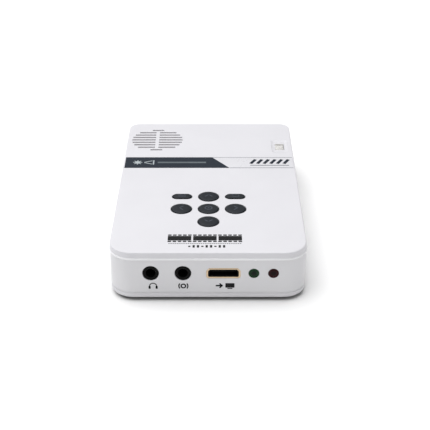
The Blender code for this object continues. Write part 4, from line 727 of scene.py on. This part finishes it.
def round_key(bm, low, high):
    """A round key, crowned, with its flange and stem."""
    flange, top = (high.x - low.x) / 2, high.z
    cap = flange - KEY_LIP
    turned(bm, [(0.0, top), (1.6, top - 0.01), (cap - 1.35, top - 0.05), (cap - 0.75, top - 0.11),
                (cap - 0.40, top - 0.20), (cap - 0.18, top - 0.33), (cap - 0.05, top - 0.50),
                (cap, top - 0.75), (cap, FLANGE_HIGH), (flange, FLANGE_HIGH), (flange, FLANGE_LOW),
                (KEY_STEM, FLANGE_LOW), (KEY_STEM, low.z), (0.0, low.z)], steps=56)


def make_keys():
    symbols = {"up": draw_chevron, "down": turned_drawing(draw_chevron, 180.0),
               "left": turned_drawing(draw_chevron, 90.0), "right": turned_drawing(draw_chevron, -90.0),
               "ok": draw_ring, "menu": draw_list, "back": draw_return}
    for key, draw in symbols.items():
        node = f"key_{key}"
        low, high = box_of(node)
        middle = (low + high) / 2
        body = nodes[node]["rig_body"]
        bm = bmesh.new()
        shape = pill_key if key in ("menu", "back") else round_key
        shape(bm, low, high)
        bmesh.ops.translate(bm, verts=bm.verts, vec=(middle.x, middle.y, 0.0))
        finished(bm, f"{key}_key_cap", FINISHES["key_plastic"], body, (node,), crease=50.0)
        mark(f"{key}_key_symbol", "key grey", (middle.x, middle.y, high.z - 0.02), draw, body=body)


def make_slide_switch():
    """A ribbed knob on a thin neck, over a track that closes the slot in the case."""
    low, high = box_of("power_switch_knob")
    middle = (low + high) / 2
    x, y, top = middle.x, middle.y, high.z
    body = nodes["power_switch_knob"]["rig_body"]
    neck_top = 19.34
    bm = bmesh.new()
    bar(bm, (x - 0.12, y, top - 0.45), (3.46, 3.6, 0.5), corner=0.25)
    for rib in (-1.55, -0.78, 0.0, 0.78, 1.55):
        bar(bm, (x - 0.12, y + rib, top - 0.14), (3.40, 0.42, 0.28), corner=0.06, top=0.1)
    bar(bm, (x, y, (FLANGE_HIGH + neck_top) / 2), (1.4, 3.6, neck_top - FLANGE_HIGH))
    bar(bm, (x, y, (FLANGE_LOW + FLANGE_HIGH) / 2), (4.68, 6.98, FLANGE_HIGH - FLANGE_LOW), corner=0.3)
    bar(bm, (x, y, (FLANGE_LOW + low.z) / 2), (1.38, 1.38, FLANGE_LOW - low.z))
    finished(bm, "slide_knob", FINISHES["switch_white"], body, ("power_switch_knob",))

    slot_near, slot_far = y - 2.05, y + 4.05
    slot_middle, slot_length = (slot_near + slot_far) / 2, slot_far - slot_near - 0.02
    track, end_walls = 18.85, 19.2  # the middles of their heights
    bm = bmesh.new()
    bar(bm, (x - 1.32, slot_middle, track), (1.14, slot_length, 0.8), corner=0.05)
    bar(bm, (x + 1.06, slot_middle, track), (0.62, slot_length, 0.8), corner=0.05)
    bar(bm, (x, slot_near + 0.11, end_walls), (3.78, 0.2, 1.5), corner=0.04, top=0.05)
    bar(bm, (x, slot_far - 0.08, end_walls), (3.78, 0.14, 1.5), corner=0.04, top=0.05)
    finished(bm, "slide_track", FINISHES["switch_white"], "case")

    cover = box_of("top_cover")[1].z
    half_dish = Vector((3.45, 6.1, 0.0))
    dish = Vector((x, slot_middle, 0.0))
    bm = bmesh.new()
    carried_round(bm, [(-0.01, cover - 0.33), (-0.01, cover - 0.03), (-0.12, cover - 0.05),
                       (-0.60, cover - 0.22), (-1.05, cover - 0.33)],
                  box_corners(dish - half_dish, dish + half_dish, 1.25, 1.25), steps=6)
    finished(bm, "slide_dish_slope", FINISHES["white_plastic"], "case", crease=50.0)


# ---------------------------------------------------------------- sockets and lamps


def make_jacks():
    """The round sockets: a ringed collar on the panel and a contact deep in each bore."""
    z = box_of("green_indicator")[1].z - LAMP_FLANGE
    for jack in ("headphone", "av"):
        node = f"{jack}_jack"
        low, high = box_of(node)
        x, face = (low.x + high.x) / 2, low.y
        softened(node, f"{jack}_jack_body", edge=0.06)
        bm = bmesh.new()
        turned(bm, [(1.82, face + 0.5), (1.82, face + 0.02), (2.02, face - 0.10), (2.22, face - 0.10),
                    (2.28, face - 0.02), (2.38, face - 0.02), (2.44, face - 0.12), (2.72, face - 0.12),
                    (2.83, face - 0.02), (2.83, face + 0.5)], (x, 0, z), "Y", closed=True)
        finished(bm, f"{jack}_jack_collar", FINISHES["black_plastic"], "case")
        bm = bmesh.new()
        turned(bm, [(1.52, face + 6.2), (1.78, face + 6.0), (1.78, face + 7.0), (1.52, face + 6.8)],
               (x, 0, z), "Y", closed=True)
        finished(bm, f"{jack}_jack_contact", FINISHES["steel"], "case")


def socket_outline(half_width, low, shoulder, half_top, high, radii):
    """The mini video outline, wide below and narrower above its sloping shoulders."""
    low_radius, shoulder_radius, top_radius = radii
    return [(-half_width, low, low_radius), (half_width, low, low_radius),
            (half_width, shoulder, shoulder_radius), (half_top, high, top_radius),
            (-half_top, high, top_radius), (-half_width, shoulder, shoulder_radius)]


def socket_ring(name, slot, section, outline, to_panel, steps=8, crease=50.0):
    """A ring round the socket's mouth, from a section of (outwards, out of the panel)."""
    bm = bmesh.new()
    carried_round(bm, section, outline, steps)
    bmesh.ops.transform(bm, matrix=to_panel, verts=bm.verts)
    finished(bm, name, FINISHES[slot], "case", crease=crease)


def make_video_socket():
    """A metal can on its legs, the rings round its mouth, and the blade with its contacts inside."""
    shell_low = box_of("video_socket_shell")[0]
    softened("video_socket_tongue", "video_socket_blade", edge=0.08)
    low, high = box_of("video_socket_tongue")
    middle = (low + high) / 2
    to_panel = Matrix.Translation((middle.x, shell_low.y, middle.z)) @ ON_PANEL

    bm = bmesh.new()
    carried_round(bm, [(0.40, -7.5), (0.40, -0.3), (0.0, -0.3), (0.0, -7.5)],
                  socket_outline(5.2, -1.225, 0.425, 4.4, 1.225, (0.3, 0.3, 0.3)), steps=4)
    bar(bm, (0.0, 0.0, -7.3), (10.9, 2.9, 0.4), corner=0.3)
    leg_top, leg_foot = -1.5, shell_low.z - middle.z
    for side in (-1, 1):
        bar(bm, (side * 4.2, (leg_top + leg_foot) / 2, -6.5), (0.96, leg_top - leg_foot, 1.96))
    bmesh.ops.transform(bm, matrix=to_panel, verts=bm.verts)
    finished(bm, "video_socket_can", FINISHES["gold_plate"], "case", ("video_socket_shell",))

    mouth = socket_outline(6.12, -2.10, 0.95, 5.1, 2.12, (0.95, 0.8, 0.7))
    lining = socket_outline(5.40, -1.45, 0.80, 4.70, 1.45, (0.5, 0.4, 0.4))
    socket_ring("video_socket_lip", "gold_plate",
                [(0.0, -0.5), (0.0, 0.02), (-0.10, 0.10), (-0.50, 0.12), (-0.66, 0.05), (-0.72, -0.10),
                 (-0.72, -0.5)], mouth, to_panel)
    socket_ring("video_socket_surround", "white_frame",
                [(0.03, -0.9), (0.03, 0.09), (0.08, 0.14), (0.6, 0.14), (0.6, -0.9)], mouth, to_panel)
    socket_ring("video_socket_liner", "black_plastic",
                [(0.0, -5.0), (0.0, 0.16), (-0.10, 0.20), (-0.36, 0.12), (-0.42, 0.0), (-0.42, -5.0)],
                lining, to_panel, steps=5, crease=35.0)

    contacts, margin = 10, 0.7
    pitch = (high.x - low.x - 2 * margin) / (contacts - 1)
    bm = bmesh.new()
    for step in range(contacts):
        bar(bm, (low.x + margin + step * pitch, middle.y, low.z - 0.02), (0.32, high.y - low.y - 0.6, 0.06))
    finished(bm, "video_socket_contacts", FINISHES["gold_plate"], "case")


def make_indicators():
    """Clear-headed lamps whose tinted domes fill their holes in the panel."""
    for shade in ("green", "red"):
        node = f"{shade}_indicator"
        softened(node, f"{shade}_lamp", edge=0.0, crease=40.0)
        low, high = box_of(node)
        x, z = (low.x + high.x) / 2, high.z - LAMP_FLANGE
        bm = bmesh.new()
        turned(bm, [(0.0, low.y - 0.30), (0.6, low.y - 0.28), (1.1, low.y - 0.20), (1.42, low.y - 0.08),
                    (1.52, low.y - 0.05), (1.62, low.y - 0.12), (1.76, low.y - 0.22), (1.89, low.y - 0.23),
                    (1.95, low.y - 0.16), (1.79, low.y - 0.14), (1.79, low.y + 1.4), (1.52, low.y + 1.4),
                    (1.52, low.y + 0.6), (0.0, low.y + 0.05)], (x, 0, z), "Y")
        slot = f"{shade}_lens"
        finished(bm, f"{shade}_lamp_window", FINISHES[slot], "case", crease=50.0)


def make_panel_signs():
    """The signs printed under the sockets."""
    face = box_of("middle_frame")[0].y
    low_line = 6.45
    mark("headphone_sign", "black", (-19.75, face, low_line), draw_headphones, onto=ON_PANEL)
    mark("plug_sign", "black", (-8.9, face, low_line), draw_plug, onto=ON_PANEL)
    mark("monitor_sign", "black", (6.1, face, low_line), draw_monitor, onto=ON_PANEL)


# ---------------------------------------------------------------- the rest


def make_small_parts():
    softened("dc_power_jack", "power_jack_body", edge=0.1)
    softened("card_socket", "card_cage", edge=0.05)
    grip = softened("focus_ring", "focus_ring_grip")
    grip.material_slots[0].material = FINISHES["knurled ring"]
    softened("lens_barrel", "lens_barrel_tube", edge=0.1)
    softened("front_lens", "front_lens_glass", edge=0.0, crease=45.0)
    softened("tripod_insert", "tripod_insert_bush", edge=0.1)
    for number in range(1, 5):
        softened(f"case_screw_{number}", f"case_screw_head_{number}", edge=0.1)


def dress_inner_nodes():
    """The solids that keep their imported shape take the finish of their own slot."""
    for node in nodes.values():
        for number, material in enumerate(node.data.materials):
            if material and material.name in FINISHES:
                node.material_slots[number].material = FINISHES[material.name]


# ---------------------------------------------------------------- stage


def make_stage():
    bm = bmesh.new()
    bmesh.ops.create_grid(bm, x_segments=1, y_segments=1, size=6.0)
    mesh = bpy.data.meshes.new("floor")
    bm.to_mesh(mesh)
    bm.free()
    floor = bpy.data.objects.new("floor", mesh)
    bpy.context.scene.collection.objects.link(floor)
    paper = Finish("white backdrop paper", (0.97, 0.97, 0.97), 0.9, Specular_IOR_Level=0.1)
    paper.gloss(paper.noise(40.0, 2.0), 0.88, 0.95)
    mesh.materials.append(paper.material)

    world = bpy.data.worlds.new("studio")
    bpy.context.scene.world = world
    world.use_nodes = True
    world.node_tree.nodes["Background"].inputs["Color"].default_value = (1.0, 1.0, 1.0, 1.0)
    world.node_tree.nodes["Background"].inputs["Strength"].default_value = 0.39

    for name, spot, size, power in (("overhead softbox", (-0.35, 0.25, 1.4), 2.2, 32.0),
                                    ("left softbox", (-0.60, -0.35, 1.2), 0.6, 1.5)):
        data = bpy.data.lights.new(name, "AREA")
        data.size, data.energy = size, power
        light = bpy.data.objects.new(name, data)
        bpy.context.scene.collection.objects.link(light)
        light.location = spot
        light.rotation_euler = (Vector((0, 0, 0.01)) - Vector(spot)).to_track_quat("-Z", "Y").to_euler()


def make_camera():
    data = bpy.data.cameras.new("camera")
    data.sensor_width, data.lens = 36.0, 84.0
    data.clip_start, data.clip_end = 0.01, 30.0
    camera = bpy.data.objects.new("camera", data)
    bpy.context.scene.collection.objects.link(camera)
    camera.location = (0.00245, -0.35865, 0.2039)
    camera.rotation_euler = (math.radians(90 - 29.14), 0.0, 0.0)
    bpy.context.scene.camera = camera
    bpy.context.scene.view_settings.view_transform = "Standard"


make_case()
make_stripe()
make_top_prints()
make_keys()
make_slide_switch()
make_jacks()
make_video_socket()
make_indicators()
make_panel_signs()
make_small_parts()
dress_inner_nodes()
make_stage()
make_camera()
